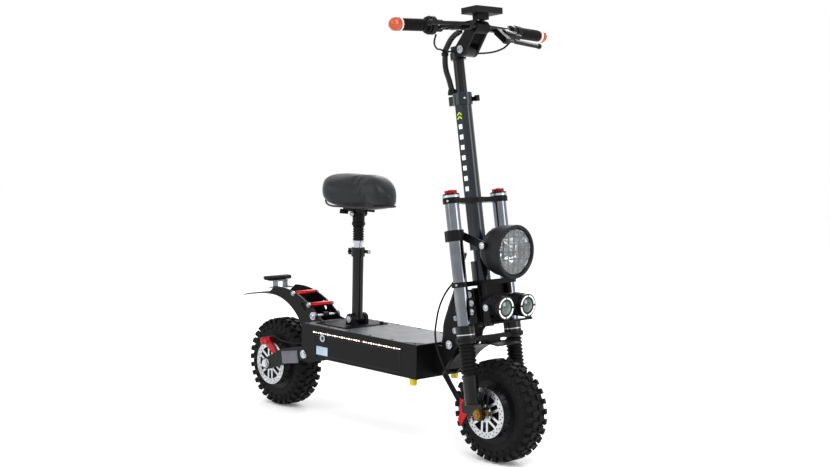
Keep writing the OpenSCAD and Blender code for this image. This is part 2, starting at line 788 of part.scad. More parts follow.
module stem_tube() color("#1a242e") {
    in_steer() difference() {
        union() {
            translate([0, 0, stem_bottom]) linear_extrude(upper_crown_w - stem_bottom) stem_section();
            translate([0, 0, upper_crown_w]) cylinder(h = crown_t, d = stem_d);
            translate([0, 0, upper_crown_w + crown_t])
                linear_extrude(stem_collar_w - upper_crown_w - crown_t) stem_section();
            translate([0, 0, stem_collar_w]) cylinder(h = stem_collar_h, r = stem_d / 2 + 4);
            translate([-stem_d / 2 - 20, -11, stem_collar_w + 4]) cube([24, 22, stem_collar_h - 8]);
            translate([0, 0, lower_crown_w + crown_t]) cylinder(h = 54, r = 26);
            translate([0, 0, head_bottom - 14]) cylinder(h = stem_bottom - head_bottom + 15, r = steerer_r);
            translate([0, 0, head_bottom - 14]) cylinder(h = 12, r = 22);
        }
        translate([0, 0, stem_bottom + 40]) cylinder(h = 600, d = slider_d + 2 * fit);
        translate([-stem_d, -3, stem_collar_w + 2]) cube([stem_d, 6, stem_collar_h]);
    }
}

lever_u = -stem_d / 2 - 12;
lever_v = stem_d / 2 + 2.5;
lever_w = stem_collar_w + stem_collar_h / 2;
// Cam lever of the stem clamp, lying along the collar.
module stem_lever() color("#1b1c1f") {
    in_steer() translate([lever_u, lever_v, lever_w]) {
        cylinder(h = 18, r = 8, center = true);
        translate([0, 2, -6]) cube([62, 6, 12]);
        translate([62, 5, 0]) cylinder(h = 16, r = 7, center = true);
    }
}

head_r = 20;
pivot_local = [
    (stem_pivot[0] - steer_x) * cos(rake) + (stem_pivot[1] - steer_z) * sin(rake),
    (steer_x - stem_pivot[0]) * sin(rake) + (stem_pivot[1] - steer_z) * cos(rake)
];
module stem_slider() color("#24272b") {
    in_steer() {
        translate([0, 0, stem_top - 280]) cylinder(h = 282, d = slider_d);
        translate([0, 0, stem_top]) cylinder(h = 20, r = 22);
    }
    difference() {
        union() {
            cross_rod(stem_pivot, -18, 36, head_r);
            in_steer() translate([-12, -14, stem_top + 16]) cube([26, 28, 22]);
        }
        cross_rod(stem_pivot, -19, 38, 6);
    }
}

// ---- handlebar and controls ----
// Puts children on the swept half of the bar: local Z runs outward from the bar's middle.
module along_bar(side) {
    translate([bar_c[0], side * bar_straight, bar_c[1]])
        rotate([-side * (90 + bar_drop), 0, side * bar_sweep]) children();
}
reach_y = 1 / (cos(bar_sweep) * cos(bar_drop));
function out(y) = (y - bar_straight) * reach_y;

module handlebar() color("#1b1c1e") {
    cross_rod(bar_c, -bar_straight, 2 * bar_straight, bar_d / 2);
    for (s = [-1, 1]) {
        along_bar(s) cylinder(h = out(grip_out + 10), d = bar_d);
        translate([bar_c[0], s * bar_straight, bar_c[1]]) sphere(d = bar_d + 0.8);
    }
}

clamp_half = 18;
module bar_clamp() color("#17181a") {
    difference() {
        union() {
            both_sides() side_plate(clamp_half + side_gap, 8) hull() {
                translate(stem_pivot) circle(20);
                translate(bar_c) circle(16);
            }
            cross_rod(bar_c, -clamp_half - 8, 2 * clamp_half + 16, 19);
        }
        cross_rod(bar_c, -50, 100, bar_d / 2);
    }
    cross_rod(stem_pivot, -clamp_half - 9.5, 2 * clamp_half + 19, 6 - fit);
}

display_at = [bar_c[0] + 12, bar_c[1] + 44];
display_size = [58, 104, 17];
module display() color("#161719") {
    stand_h = display_at[1] - bar_c[1] - display_size[2] / 2 - 21;
    translate([display_at[0], 0, display_at[1]]) rotate([0, -6, 0]) {
        translate([-display_size[0] / 2, -display_size[1] / 2, -display_size[2] / 2]) cube(display_size);
        translate([-18, -20, -display_size[2] / 2 - stand_h]) cube([24, 40, stand_h + 1]);
    }
}

module grip_sleeve(side, from_y, to_y) {
    along_bar(side) translate([0, 0, out(from_y)]) ring(grip_d / 2, bar_d / 2 + fit, out(to_y) - out(from_y));
}
module left_grip() color("#1a1a1b") grip_sleeve(1, grip_in, grip_out);
module throttle_grip() color("#1a1a1b") {
    grip_sleeve(-1, grip_in, grip_out - 0.5);
    along_bar(-1) translate([0, 0, out(grip_in)]) ring(22, bar_d / 2 + fit, 6);
}

module bar_end_lights() color("#d9741a") {
    for (s = [-1, 1]) along_bar(s) translate([0, 0, out(grip_out)]) difference() {
        union() {
            cylinder(h = 5, r = grip_d / 2 - 1);
            translate([0, 0, 5]) cylinder(h = 20, r = grip_d / 2 + 2);
            translate([0, 0, 25]) cylinder(h = light_len - 27, r1 = grip_d / 2 + 2, r2 = 8);
        }
        translate([0, 0, -1]) cylinder(h = 11.4 * reach_y, d = bar_d);
    }
}

// Brake master cylinders; each lies beside the bar, and its lever turns on a pin at the inner end.
master_in = 62;
master_len = 62;
right_roll = -4;
left_roll = 38;
lever_reach = 50;
lever_half = 2.8;
module master_frame(side, roll) {
    along_bar(side) rotate([0, 0, roll_angle(side, roll)]) children();
}
// The roll is how far the lever hangs below the forward direction.
function roll_angle(side, roll) = side * roll;

module master(side, roll) {
    master_frame(side, roll) difference() {
        union() {
            translate([0, 0, out(138)]) cylinder(h = 18, d = bar_d + 12);
            translate([10, -9, out(master_in)]) cube([22, 18, out(156) - out(master_in)]);
            translate([22, -9, out(master_in)]) cube([lever_reach - 16, 18, 20]);
        }
        translate([0, 0, out(40)]) cylinder(h = 200, d = bar_d);
        translate([34, -lever_half - 0.3, out(master_in) - 1]) cube([60, 2 * lever_half + 0.6, 22]);
    }
}
module brake_masters() color("#1e1f22") {
    master(-1, right_roll);
    master(1, left_roll);
}

lever_pin_z = 12;
module brake_lever(side, roll) {
    master_frame(side, roll) translate([lever_reach, 0, out(master_in) + lever_pin_z]) {
        rotate([90, 0, 0]) cylinder(h = 2 * lever_half, r = 6, center = true);
        translate([-4, -lever_half, 0]) cube([9, 2 * lever_half, 40]);
        translate([0, 0, 36]) rotate([0, 4, 0]) {
            translate([-4, -5, 0]) cube([9, 10, 108]);
            translate([0, 0, 110]) sphere(r = 8);
        }
    }
}
module brake_lever_right() color("#1e1f22") brake_lever(-1, right_roll);
module brake_lever_left() color("#1e1f22") brake_lever(1, left_roll);

// The throttle's housing on the right and the switch pod on the left.
pod_len = 14;
module control_pods() color("#151618") {
    along_bar(-1) translate([0, 0, out(pod_y)]) ring(25, bar_d / 2, pod_len);
    along_bar(1) difference() {
        union() {
            translate([0, 0, out(pod_y - 7)]) cylinder(h = 20, r = 19);
            translate([-18, -2, out(pod_y - 7)]) cube([24, 28, 20]);
        }
        cylinder(h = 300, d = bar_d);
        translate([button_at[0], button_at[1], out(pod_y - 7) + 10]) rotate([0, -90, 0])
            cylinder(h = 12, r = button_r + 0.3);
    }
}

button_r = 5;
button_at = [-12, 14];
module horn_button() color("#b03a22") {
    along_bar(1) translate([button_at[0] - 9, button_at[1], out(pod_y - 7) + 10]) rotate([0, 90, 0])
        cylinder(h = 6, r = button_r);
}

// ---- lamps ----
module headlight_shell() color("#2a2b2e") {
    r = headlight_d / 2;
    translate([headlight_c[0], 0, headlight_c[1]]) rotate([0, 90, 0]) rotate_extrude($fn = 96) polygon([
        [0, -104], [26, -101], [46, -90], [60, -72], [68, -50], [r - 1, -22], [r, 0], [r - 6, 3], [r - 9, 0],
        [r - 12, -14], [r - 10, -26], [56, -58], [40, -82], [20, -95], [0, -98]
    ]);
    both_sides() cross_rod(headlight_pin, 60, 8.5, 7);
}
module headlight_lens() color("#cfe4ea") {
    translate([headlight_c[0], 0, headlight_c[1]]) rotate([0, 90, 0]) rotate_extrude($fn = 64) polygon([
        [0, -10], [headlight_d / 2 - 12.5, -10], [headlight_d / 2 - 12.5, -2], [30, 3], [0, 4]
    ]);
}

arm_in = 69;
module headlight_bracket() color("#16171a") {
    leg = [fork_offset, lamp_clamp_w];
    in_steer() at_legs() translate([0, 0, lamp_clamp_w - 15]) difference() {
        union() {
            cylinder(h = 30, d = fork_tube_d + 10);
            translate([-fork_tube_d / 2 - 14, -7, 0]) cube([16, 14, 30]);
        }
        translate([0, 0, -1]) cylinder(h = 32, d = fork_tube_d);
    }
    both_sides() difference() {
        side_plate(arm_in, 4) hull() {
            translate([steer_x + leg[0] * cos(rake) - leg[1] * sin(rake) - 8, steer_z + leg[1] * cos(rake) + 4]) circle(11);
            translate(headlight_pin) circle(11);
        }
        cross_rod(headlight_pin, arm_in - 1, 6, 4);
    }
    both_sides() cross_rod(headlight_pin, arm_in - 0.3, 9, 4 - fit);
}

// Back plate under the lower crown's tab, with two ears and a shelf for the small lamps.
plate_u = 40;
lamp_pin_local = [
    (lamp_pin[0] - steer_x) * cos(rake) + (lamp_pin[1] - steer_z) * sin(rake),
    (steer_x - lamp_pin[0]) * sin(rake) + (lamp_pin[1] - steer_z) * cos(rake)
];
module lamp_bracket() color("#1a1b1e") {
    shelf_w = lamp_pin_local[1] - 46;
    in_steer() {
        translate([plate_u, -tab_half, shelf_w]) cube([4, 2 * tab_half, lower_crown_w - shelf_w - 20]);
        translate([plate_u, -tab_half, lower_crown_w - 21]) cube([4, 2 * tab_half, 21]);
        translate([plate_u, -ear_y - 4, shelf_w]) cube([lamp_pin_local[0] - plate_u + 14, 2 * ear_y + 8, 5]);
        both_sides() difference() {
            union() {
                translate([lamp_pin_local[0] - 11, ear_y, shelf_w]) cube([22, 4, lamp_pin_local[1] - shelf_w]);
                cross_rod(lamp_pin_local, ear_y, 4, 11);
            }
            cross_rod(lamp_pin_local, ear_y - 1, 6, 4);
        }
        both_sides() translate([plate_u + 12, 50, lower_crown_w - 28]) cylinder(h = 28, r = 8);
    }
}

module twin_lamps() color("#1c1d20") {
    both_sides() translate([lamp_face[0], lamp_y, lamp_face[1]]) rotate([0, -90, 0]) {
        cylinder(h = 10, d = lamp_d + 4);
        translate([0, 0, 10]) cylinder(h = lamp_len - 26, d = lamp_d);
        translate([0, 0, lamp_len - 16]) cylinder(h = 16, d = lamp_d - 16);
    }
    translate([lamp_face[0] - 50, -lamp_y, lamp_face[1] - 8]) cube([30, 2 * lamp_y, 16]);
    both_sides() cross_rod(lamp_pin, lamp_y + lamp_d / 2 - 4, ear_y + 10 - lamp_y - lamp_d / 2, 4 - fit);
}

// ---- swing arm and shock ----
module swing_arm() color("#2c2e32") {
    p = [pivot_x, pivot_z];
    a = [rear_x, axle_z];
    difference() {
        union() {
            both_sides() side_plate(arm_y, arm_t) {
                translate(p) circle(18);
                translate(a) circle(20);
                polygon([
                    a + [0, 20], a + [79, 58], a + [155, 74], p + [0, 18], p + [14, -8], p + [0, -18],
                    a + [155, 30], a + [79, 6], a + [0, -20]
                ]);
            }
            cross_rod(p, -arm_y, 2 * arm_y, 11);
            translate([pivot_x - 36, -arm_y, pivot_z - 30]) cube([36, 2 * arm_y, 14]);
            both_sides() translate([shock_foot[0] - 8, shock_eye_half + side_gap, pivot_z - 30]) cube([46, 6, 40]);
        }
        cross_rod(p, -100, 200, pivot_r + fit);
        cross_rod(a, -100, 200, axle_d / 2);
    }
    cross_rod(shock_foot, -shock_eye_half - side_gap - 1, 2 * (shock_eye_half + side_gap + 1), shock_pin_r - clear);
}
shock_eye_half = 9;

module in_shock() {
    translate([shock_foot[0], 0, shock_foot[1]]) rotate([0, shock_tilt, 0]) children();
}

module shock_eye(z, bore) {
    difference() {
        cross_rod([0, z], -shock_eye_half, 2 * shock_eye_half, 10);
        cross_rod([0, z], -20, 40, bore);
    }
}

module shock_body() color("#26282c") {
    in_shock() {
        shock_eye(shock_len, shock_pin_r + fit);
        difference() {
            union() {
                translate([0, 0, shock_len - 78]) cylinder(h = 69, r = 11.5);
                translate([0, 0, shock_len - 22]) cylinder(h = 5, d = spring_d);
            }
            translate([0, 0, shock_len - 79]) cylinder(h = 55, r = 6 + fit);
        }
    }
}

module shock_rod() color("#c4c7cc") {
    in_shock() {
        shock_eye(0, shock_pin_r + fit);
        translate([0, 0, 9]) cylinder(h = 52, r = 6);
        translate([0, 0, 18]) cylinder(h = 5, d = spring_d);
    }
}

module shock_spring() color("#b02028") {
    low = 23;
    in_shock() translate([0, 0, low]) ribbed(spring_d / 2, spring_d / 2 - 5.5, shock_len - 22 - low, 6);
}

rear_caliper_angle = 104;
module rear_caliper() {
    reach = disc_d / 2 + 4;
    spot = [rear_x + reach * cos(rear_caliper_angle), axle_z + reach * sin(rear_caliper_angle)];
    color("#b3202c") {
        translate([spot[0], -disc_y, spot[1]]) rotate([0, 90 - rear_caliper_angle, 0]) caliper_block();
        side_plate(-arm_y, 4) polygon([
            spot + [-14, 8], spot + [20, 8], [rear_x + 40, axle_z + 38], [rear_x + 24, axle_z + 30], [rear_x - 8, axle_z + 50]
        ]);
    }
    color("#111111") cable(rear_hose, 2.6);
}

// Rear brake hose, from the caliper along the arm to the deck.
rear_hose = [
    [rear_x + 8, -disc_y - 8, axle_z + 84], [rear_x + 34, -74, axle_z + 94], [rear_x + 70, -78, axle_z + 86],
    [rear_x + 120, -76, axle_z + 82], [rear_x + 170, -72, axle_z + 86], [rear_x + 205, -70, axle_z + 92]
];

// ---- kickstand ----
// The leg turns on a pin that leans outward, so it folds up beside the deck.
stand_at = [164, 100, deck_bottom - 14];
stand_reach = [50, 100, -stand_at[2]];
stand_lean = 19.5;
stand_pin_r = 5;
module at_stand_pivot() {
    translate(stand_at) rotate([stand_lean - 90, 0, 0]) children();
}
module kickstand() color("#1c1d20") {
    splay = atan2(stand_reach[1], stand_reach[0]);
    lean = atan2(norm([stand_reach[0], stand_reach[1]]), -stand_reach[2]);
    at_stand_pivot() {
        translate([0, 0, -9]) cylinder(h = 18, r = 11);
        translate([0, 0, -30]) cylinder(h = 30, r = stand_pin_r - fit);
    }
    translate(stand_at) rotate([0, 180 - lean, splay]) cylinder(h = norm(stand_reach) - 14, r = 8);
    translate([stand_at[0] + stand_reach[0], stand_at[1] + stand_reach[1], 0]) cylinder(h = 14, r1 = 20, r2 = 12);
}

// ---- cables ----
module cable_harness() color("#0f0f10") {
    cable(harness_route, 8);
    cable(right_lead, 2.6, [0, 0, 1]);
    cable(left_lead, 2.6, [0, 0, 1]);
}
harness_route = [
    [bar_c[0] - 46, -24, bar_c[1] - 10], [bar_c[0] - 80, -20, bar_c[1] - 26], [bar_c[0] - 112, -16, bar_c[1] - 62],
    [bar_c[0] - 112, -12, bar_c[1] - 110], [bar_c[0] - 98, -10, bar_c[1] - 146], [bar_c[0] - 86, -8, bar_c[1] - 172]
];
right_lead = [
    [bar_c[0] - 14, -150, bar_c[1] - 28], [bar_c[0] - 40, -130, bar_c[1] - 46], [bar_c[0] - 70, -90, bar_c[1] - 60],
    [bar_c[0] - 96, -50, bar_c[1] - 60], [bar_c[0] - 110, -20, bar_c[1] - 64]
];
left_lead = [
    [bar_c[0] - 12, 150, bar_c[1] - 28], [bar_c[0] - 20, 120, bar_c[1] - 52], [bar_c[0] - 50, 70, bar_c[1] - 66],
    [bar_c[0] - 90, 20, bar_c[1] - 62], [bar_c[0] - 110, -12, bar_c[1] - 64]
];

module front_brake_hose() color("#0f0f10") {
    cable([
        [steer_x - 94, -leg_y + 22, steer_z + 366], [steer_x - 120, -leg_y, steer_z + 310],
        [steer_x - 143, -leg_y - 4, steer_z + 236], [steer_x - 146, -leg_y - 5, steer_z + 190],
        [steer_x - 124, -leg_y - 5, steer_z + 140], [steer_x - 92, -leg_y - 3, steer_z + 98],
        [steer_x - 72, -leg_y + 6, steer_z + 62], [steer_x - 64, -leg_y + 20, steer_z + 40]
    ], 2.8);
}

module neck_harness() color("#0f0f10") {
    cable([
        [steer_x - 118, -12, steer_z + 428], [steer_x - 132, -14, steer_z + 380], [steer_x - 148, -14, steer_z + 320],
        [steer_x - 172, -12, steer_z + 262], [steer_x - 188, -10, steer_z + 214], [steer_x - 191, -10, steer_z + 180],
        [steer_x - 191, -10, steer_z + 150]
    ], 7);
}

deck_shell();
deck_lid();
deck_electronics();
deck_feet();
charge_port();
seat_plate();
rear_brackets();
rear_fender();
tail_light();
frame_bolts();
neck_frame();
head_bearings();
fork_crowns();
fork_tubes();
fork_collars();
fork_bellows();
stem_tube();
front_mudguard();
headlight_bracket();
lamp_bracket();
front_brake_hose();
neck_harness();
fork_lowers();
front_axle();
front_caliper();
front_tyre();
front_hub();
front_disc();
headlight_shell();
headlight_lens();
twin_lamps();
stem_slider();
stem_lever();
handlebar();
bar_clamp();
display();
left_grip();
bar_end_lights();
brake_masters();
control_pods();
cable_harness();
throttle_grip();
brake_lever_right();
brake_lever_left();
horn_button();
seat_tube();
seat_lever();
seat_post();
seat_spring();
saddle();
swing_arm();
rear_axle();
rear_caliper();
rear_tyre();
rear_hub();
rear_disc();
shock_body();
shock_rod();
shock_spring();
kickstand();
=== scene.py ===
"""Looks of a seated off-road electric scooter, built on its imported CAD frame."""

import json
import logging
import math
from dataclasses import dataclass
from enum import Enum
from typing import Iterable, Optional, Sequence

import bmesh
import bpy
from mathutils import Matrix, Vector
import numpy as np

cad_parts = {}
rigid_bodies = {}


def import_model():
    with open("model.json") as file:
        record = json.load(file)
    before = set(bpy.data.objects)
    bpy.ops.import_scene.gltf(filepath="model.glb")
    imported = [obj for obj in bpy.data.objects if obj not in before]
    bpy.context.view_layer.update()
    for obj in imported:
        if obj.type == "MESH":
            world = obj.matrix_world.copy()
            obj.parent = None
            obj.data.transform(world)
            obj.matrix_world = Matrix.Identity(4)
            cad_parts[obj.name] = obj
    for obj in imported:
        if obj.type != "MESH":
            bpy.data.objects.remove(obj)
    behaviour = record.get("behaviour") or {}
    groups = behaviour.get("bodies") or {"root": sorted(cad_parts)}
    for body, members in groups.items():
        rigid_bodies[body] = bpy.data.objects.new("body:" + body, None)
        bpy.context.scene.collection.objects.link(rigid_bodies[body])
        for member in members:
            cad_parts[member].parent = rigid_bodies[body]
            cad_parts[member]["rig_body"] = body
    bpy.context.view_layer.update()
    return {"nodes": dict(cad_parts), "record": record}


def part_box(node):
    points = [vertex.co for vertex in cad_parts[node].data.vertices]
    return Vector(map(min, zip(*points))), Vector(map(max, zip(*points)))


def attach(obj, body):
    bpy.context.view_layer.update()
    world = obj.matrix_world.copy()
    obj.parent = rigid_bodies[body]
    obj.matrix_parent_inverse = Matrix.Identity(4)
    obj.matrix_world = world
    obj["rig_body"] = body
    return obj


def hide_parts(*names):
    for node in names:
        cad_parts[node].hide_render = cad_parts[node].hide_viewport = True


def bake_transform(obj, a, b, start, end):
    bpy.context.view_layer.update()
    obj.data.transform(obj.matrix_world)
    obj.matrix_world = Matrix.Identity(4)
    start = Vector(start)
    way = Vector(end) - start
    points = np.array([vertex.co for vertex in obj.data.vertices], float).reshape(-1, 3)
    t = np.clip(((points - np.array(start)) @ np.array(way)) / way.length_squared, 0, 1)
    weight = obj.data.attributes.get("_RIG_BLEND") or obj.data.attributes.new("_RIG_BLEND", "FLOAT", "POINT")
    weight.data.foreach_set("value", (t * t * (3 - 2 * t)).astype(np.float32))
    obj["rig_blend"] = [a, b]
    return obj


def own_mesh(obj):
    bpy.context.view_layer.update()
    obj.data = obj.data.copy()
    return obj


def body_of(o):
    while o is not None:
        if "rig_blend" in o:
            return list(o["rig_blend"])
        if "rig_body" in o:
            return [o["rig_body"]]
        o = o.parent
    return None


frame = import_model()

LOG = logging.getLogger("scooter")
MM = 0.001
CROSS = Vector((0, 1, 0))
UP = Vector((0, 0, 1))
FORWARD = Vector((1, 0, 0))


# ---------------------------------------------------------------- finishes
class Grain(Enum):
    """The small surface pattern of a finish."""

    POWDER = "powder"
    BRUSHED = "brushed"
    SMOOTH = "smooth"
    RUBBER = "rubber"
    LEATHER = "leather"
    GRIT = "grit"
    WRAP = "wrap"


@dataclass(frozen=True)
class Finish:
    """One real material with its process.

    Attributes:
        name: Material name.
        colour: Base colour as sRGB hex.
        shade: Second colour that drifts through the first.
        rough: Mean roughness.
        metal: Metallic value.
        grain: Pattern of the bump.
        size: Pattern size in millimetres.
        depth: Bump depth in millimetres.
        edge_wear_and_highlight: Colour of the lighter convex edges, partly rubbed wear and partly a painted edge
            highlight, or an empty string.
        coat: Clear coat weight.
        clear: Transmission weight.
        glow: Emission strength in the base colour.
        sheen: Sheen weight.
        gloss: Specular level of the base layer.
    """

    name: str
    colour: str
    shade: str
    rough: float
    metal: float = 0.0
    grain: Grain = Grain.POWDER
    size: float = 0.8
    depth: float = 0.02
    edge_wear_and_highlight: str = ""
    coat: float = 0.0
    clear: float = 0.0
    glow: float = 0.0
    sheen: float = 0.0
    gloss: float = 0.5


def srgb(code: str) -> tuple[float, float, float, float]:
    """Turns an sRGB hex colour into linear RGBA."""
    values = [int(code[i:i + 2], 16) / 255 for i in (0, 2, 4)]
    linear = [v / 12.92 if v <= 0.04045 else ((v + 0.055) / 1.055) ** 2.4 for v in values]
    return (*linear, 1.0)


# satin black powder coat on steel and alloy plates
BLACK_POWDER = Finish("black_powder_coat", "060607", "0b0b0d", 0.42, grain=Grain.POWDER, size=0.7,
                      depth=0.03, edge_wear_and_highlight="2a2b2d", coat=0.02, gloss=0.1)
# gloss black paint on the fork legs and collars
BLACK_GLOSS = Finish("black_gloss_paint", "050506", "09090b", 0.2, grain=Grain.SMOOTH, edge_wear_and_highlight="232427", coat=0.12,
                     gloss=0.2)
# blue-black metallic paint on the steering tube
STEM_PAINT = Finish("stem_blue_black_paint", "0a1016", "101820", 0.2, 0.35, Grain.SMOOTH, 60, 0.0,
                    "2f363c", 0.5, gloss=0.2)
# black anodised, fine-blasted aluminium
BLACK_ANODISED = Finish("black_anodised_alloy", "0d0d0f", "151618", 0.36, 0.5, Grain.POWDER, 0.3, 0.008, "55575b",
                        gloss=0.2)
# red anodised aluminium
RED_ANODISED = Finish("red_anodised_alloy", "b01420", "861019", 0.28, 0.75, Grain.POWDER, 0.3, 0.006, "d8848a")
# polished hard chrome on the fork tubes, a little smoky
CHROME = Finish("smoked_hard_chrome", "6d7077", "7c8087", 0.13, 1.0, Grain.BRUSHED, 0.5, 0.001)
# bright chrome of the seat post
POST_CHROME = Finish("bright_post_chrome", "c9ccd0", "b5b8bd", 0.12, 1.0, Grain.BRUSHED, 0.5, 0.001)
# zinc plated steel fasteners
ZINC = Finish("zinc_plated_steel", "bfc2c6", "a3a6aa", 0.3, 0.95, Grain.BRUSHED, 0.3, 0.003)
# ground stainless steel of the brake discs
DISC_STEEL = Finish("ground_stainless_disc", "c4c6c8", "a7a9ac", 0.3, 1.0, Grain.BRUSHED, 0.4, 0.006)
# yellow passivated brass of the front axle
BRASS = Finish("passivated_brass", "8f6c34", "6f5226", 0.28, 0.95, Grain.BRUSHED, 0.4, 0.004)
# violet-grey plates on the swing arm's sides, a painted highlight where the arm catches light
ARM_PAINTED_HIGHLIGHT = Finish("grey_plate_painted_highlight", "54535c", "5f5e68", 0.38, 0.5, Grain.POWDER, 0.4, 0.01, "85858d")
# cast grey aluminium of the light's stay
GREY_ALLOY = Finish("cast_grey_alloy", "7d8085", "8d9095", 0.45, 0.8, Grain.POWDER, 0.8, 0.03, "b5b8bc")
# vulcanised off-road tyre rubber
TYRE = Finish("vulcanised_tyre_rubber", "09090a", "101011", 0.62, grain=Grain.RUBBER, size=0.9, depth=0.06,
              edge_wear_and_highlight="1f1f20", gloss=0.12)
# soft black rubber of grips, bellows and hoses
SOFT_RUBBER = Finish("soft_black_rubber", "080809", "0e0e0f", 0.5, grain=Grain.RUBBER, size=0.6, depth=0.03,
                     gloss=0.12)
# spiral-wrapped cable bundle
WRAPPED = Finish("spiral_wrapped_loom", "070708", "151516", 0.38, grain=Grain.WRAP, size=7.0, depth=0.9, gloss=0.25)
# injection moulded black plastic
BLACK_PLASTIC = Finish("moulded_black_plastic", "08080a", "0e0e10", 0.45, grain=Grain.POWDER, size=0.5, depth=0.02,
                       edge_wear_and_highlight="1f2022", gloss=0.14)
# matt painted bowl of the large lamp
LAMP_BLACK = Finish("matt_lamp_bowl_paint", "0d0e10", "131417", 0.42, 0.1, Grain.POWDER, 0.4, 0.01, "303236",
                    gloss=0.2)
# mineral-grit rubber deck mat
DECK_MAT = Finish("grit_deck_mat", "3f4046", "4d4e55", 0.36, 0.1, Grain.GRIT, 1.3, 0.12)
# yellow moulded rubber foot
YELLOW_RUBBER = Finish("yellow_moulded_rubber", "d3c81c", "bfae12", 0.5, grain=Grain.RUBBER, size=0.7, depth=0.02)
# smooth charcoal synthetic leather
LEATHER = Finish("charcoal_saddle_leather", "141518", "1a1b1f", 0.44, grain=Grain.LEATHER, size=1.5, depth=0.05,
                 coat=0.05, sheen=0.06, gloss=0.2)
# moulded plastic base around the saddle's lower edge
PIPING = Finish("moulded_saddle_base", "09090a", "101011", 0.5, grain=Grain.RUBBER, size=0.6, depth=0.02)
# vapour-plated reflector
REFLECTOR = Finish("vapour_plated_reflector", "c3c8cc", "9ba1a8", 0.1, 1.0, Grain.SMOOTH, 1.0, 0.001)
# clear polycarbonate lens
CLEAR_LENS = Finish("clear_polycarbonate", "f2f6f7", "ffffff", 0.03, grain=Grain.SMOOTH, depth=0.0, clear=0.97)
# green-tinted projector glass
TINTED_LENS = Finish("tinted_projector_glass", "16302a", "2c4b43", 0.05, grain=Grain.SMOOTH, depth=0.0, clear=0.15,
                     coat=1.0)
# amber faceted lens
AMBER = Finish("amber_faceted_lens", "a83a02", "8a2e02", 0.16, grain=Grain.SMOOTH, depth=0.0, coat=0.25, gloss=0.4)
# translucent white light ring
WHITE_RING = Finish("opal_white_ring", "dfe2e4", "eef0f1", 0.3, grain=Grain.SMOOTH, depth=0.0, glow=0.25)
# diffuser over the deck's light strip
STRIP_GLOW = Finish("warm_strip_diffuser", "fff3dc", "ffffff", 0.4, grain=Grain.SMOOTH, depth=0.0, glow=1.6)
# red lens
RED_LENS = Finish("red_lens", "b5121c", "8e0d15", 0.15, grain=Grain.SMOOTH, depth=0.0, coat=0.5, glow=0.12)
# black glass of the display
SCREEN = Finish("black_display_glass", "030304", "060708", 0.08, grain=Grain.SMOOTH, depth=0.0, coat=0.6)
# yellow-green and white vinyl marks
LIME_VINYL = Finish("lime_vinyl_mark", "b9d21f", "a6bd1a", 0.35, grain=Grain.SMOOTH, depth=0.002)
WHITE_VINYL = Finish("white_vinyl_mark", "e8eaea", "dcdede", 0.35, grain=Grain.SMOOTH, depth=0.002)
# silver-blue foil plate
FOIL = Finish("silver_blue_foil", "a9bccb", "8fa5b8", 0.3, 0.6, Grain.BRUSHED, 0.6, 0.004)
# shrink-wrapped battery
PACK_WRAP = Finish("battery_shrink_wrap", "2f5fa8", "264e8c", 0.35, grain=Grain.SMOOTH, depth=0.01)
RED_BUTTON = Finish("red_moulded_button", "a83220", "8d2a1b", 0.35, grain=Grain.SMOOTH, depth=0.002, coat=0.3)


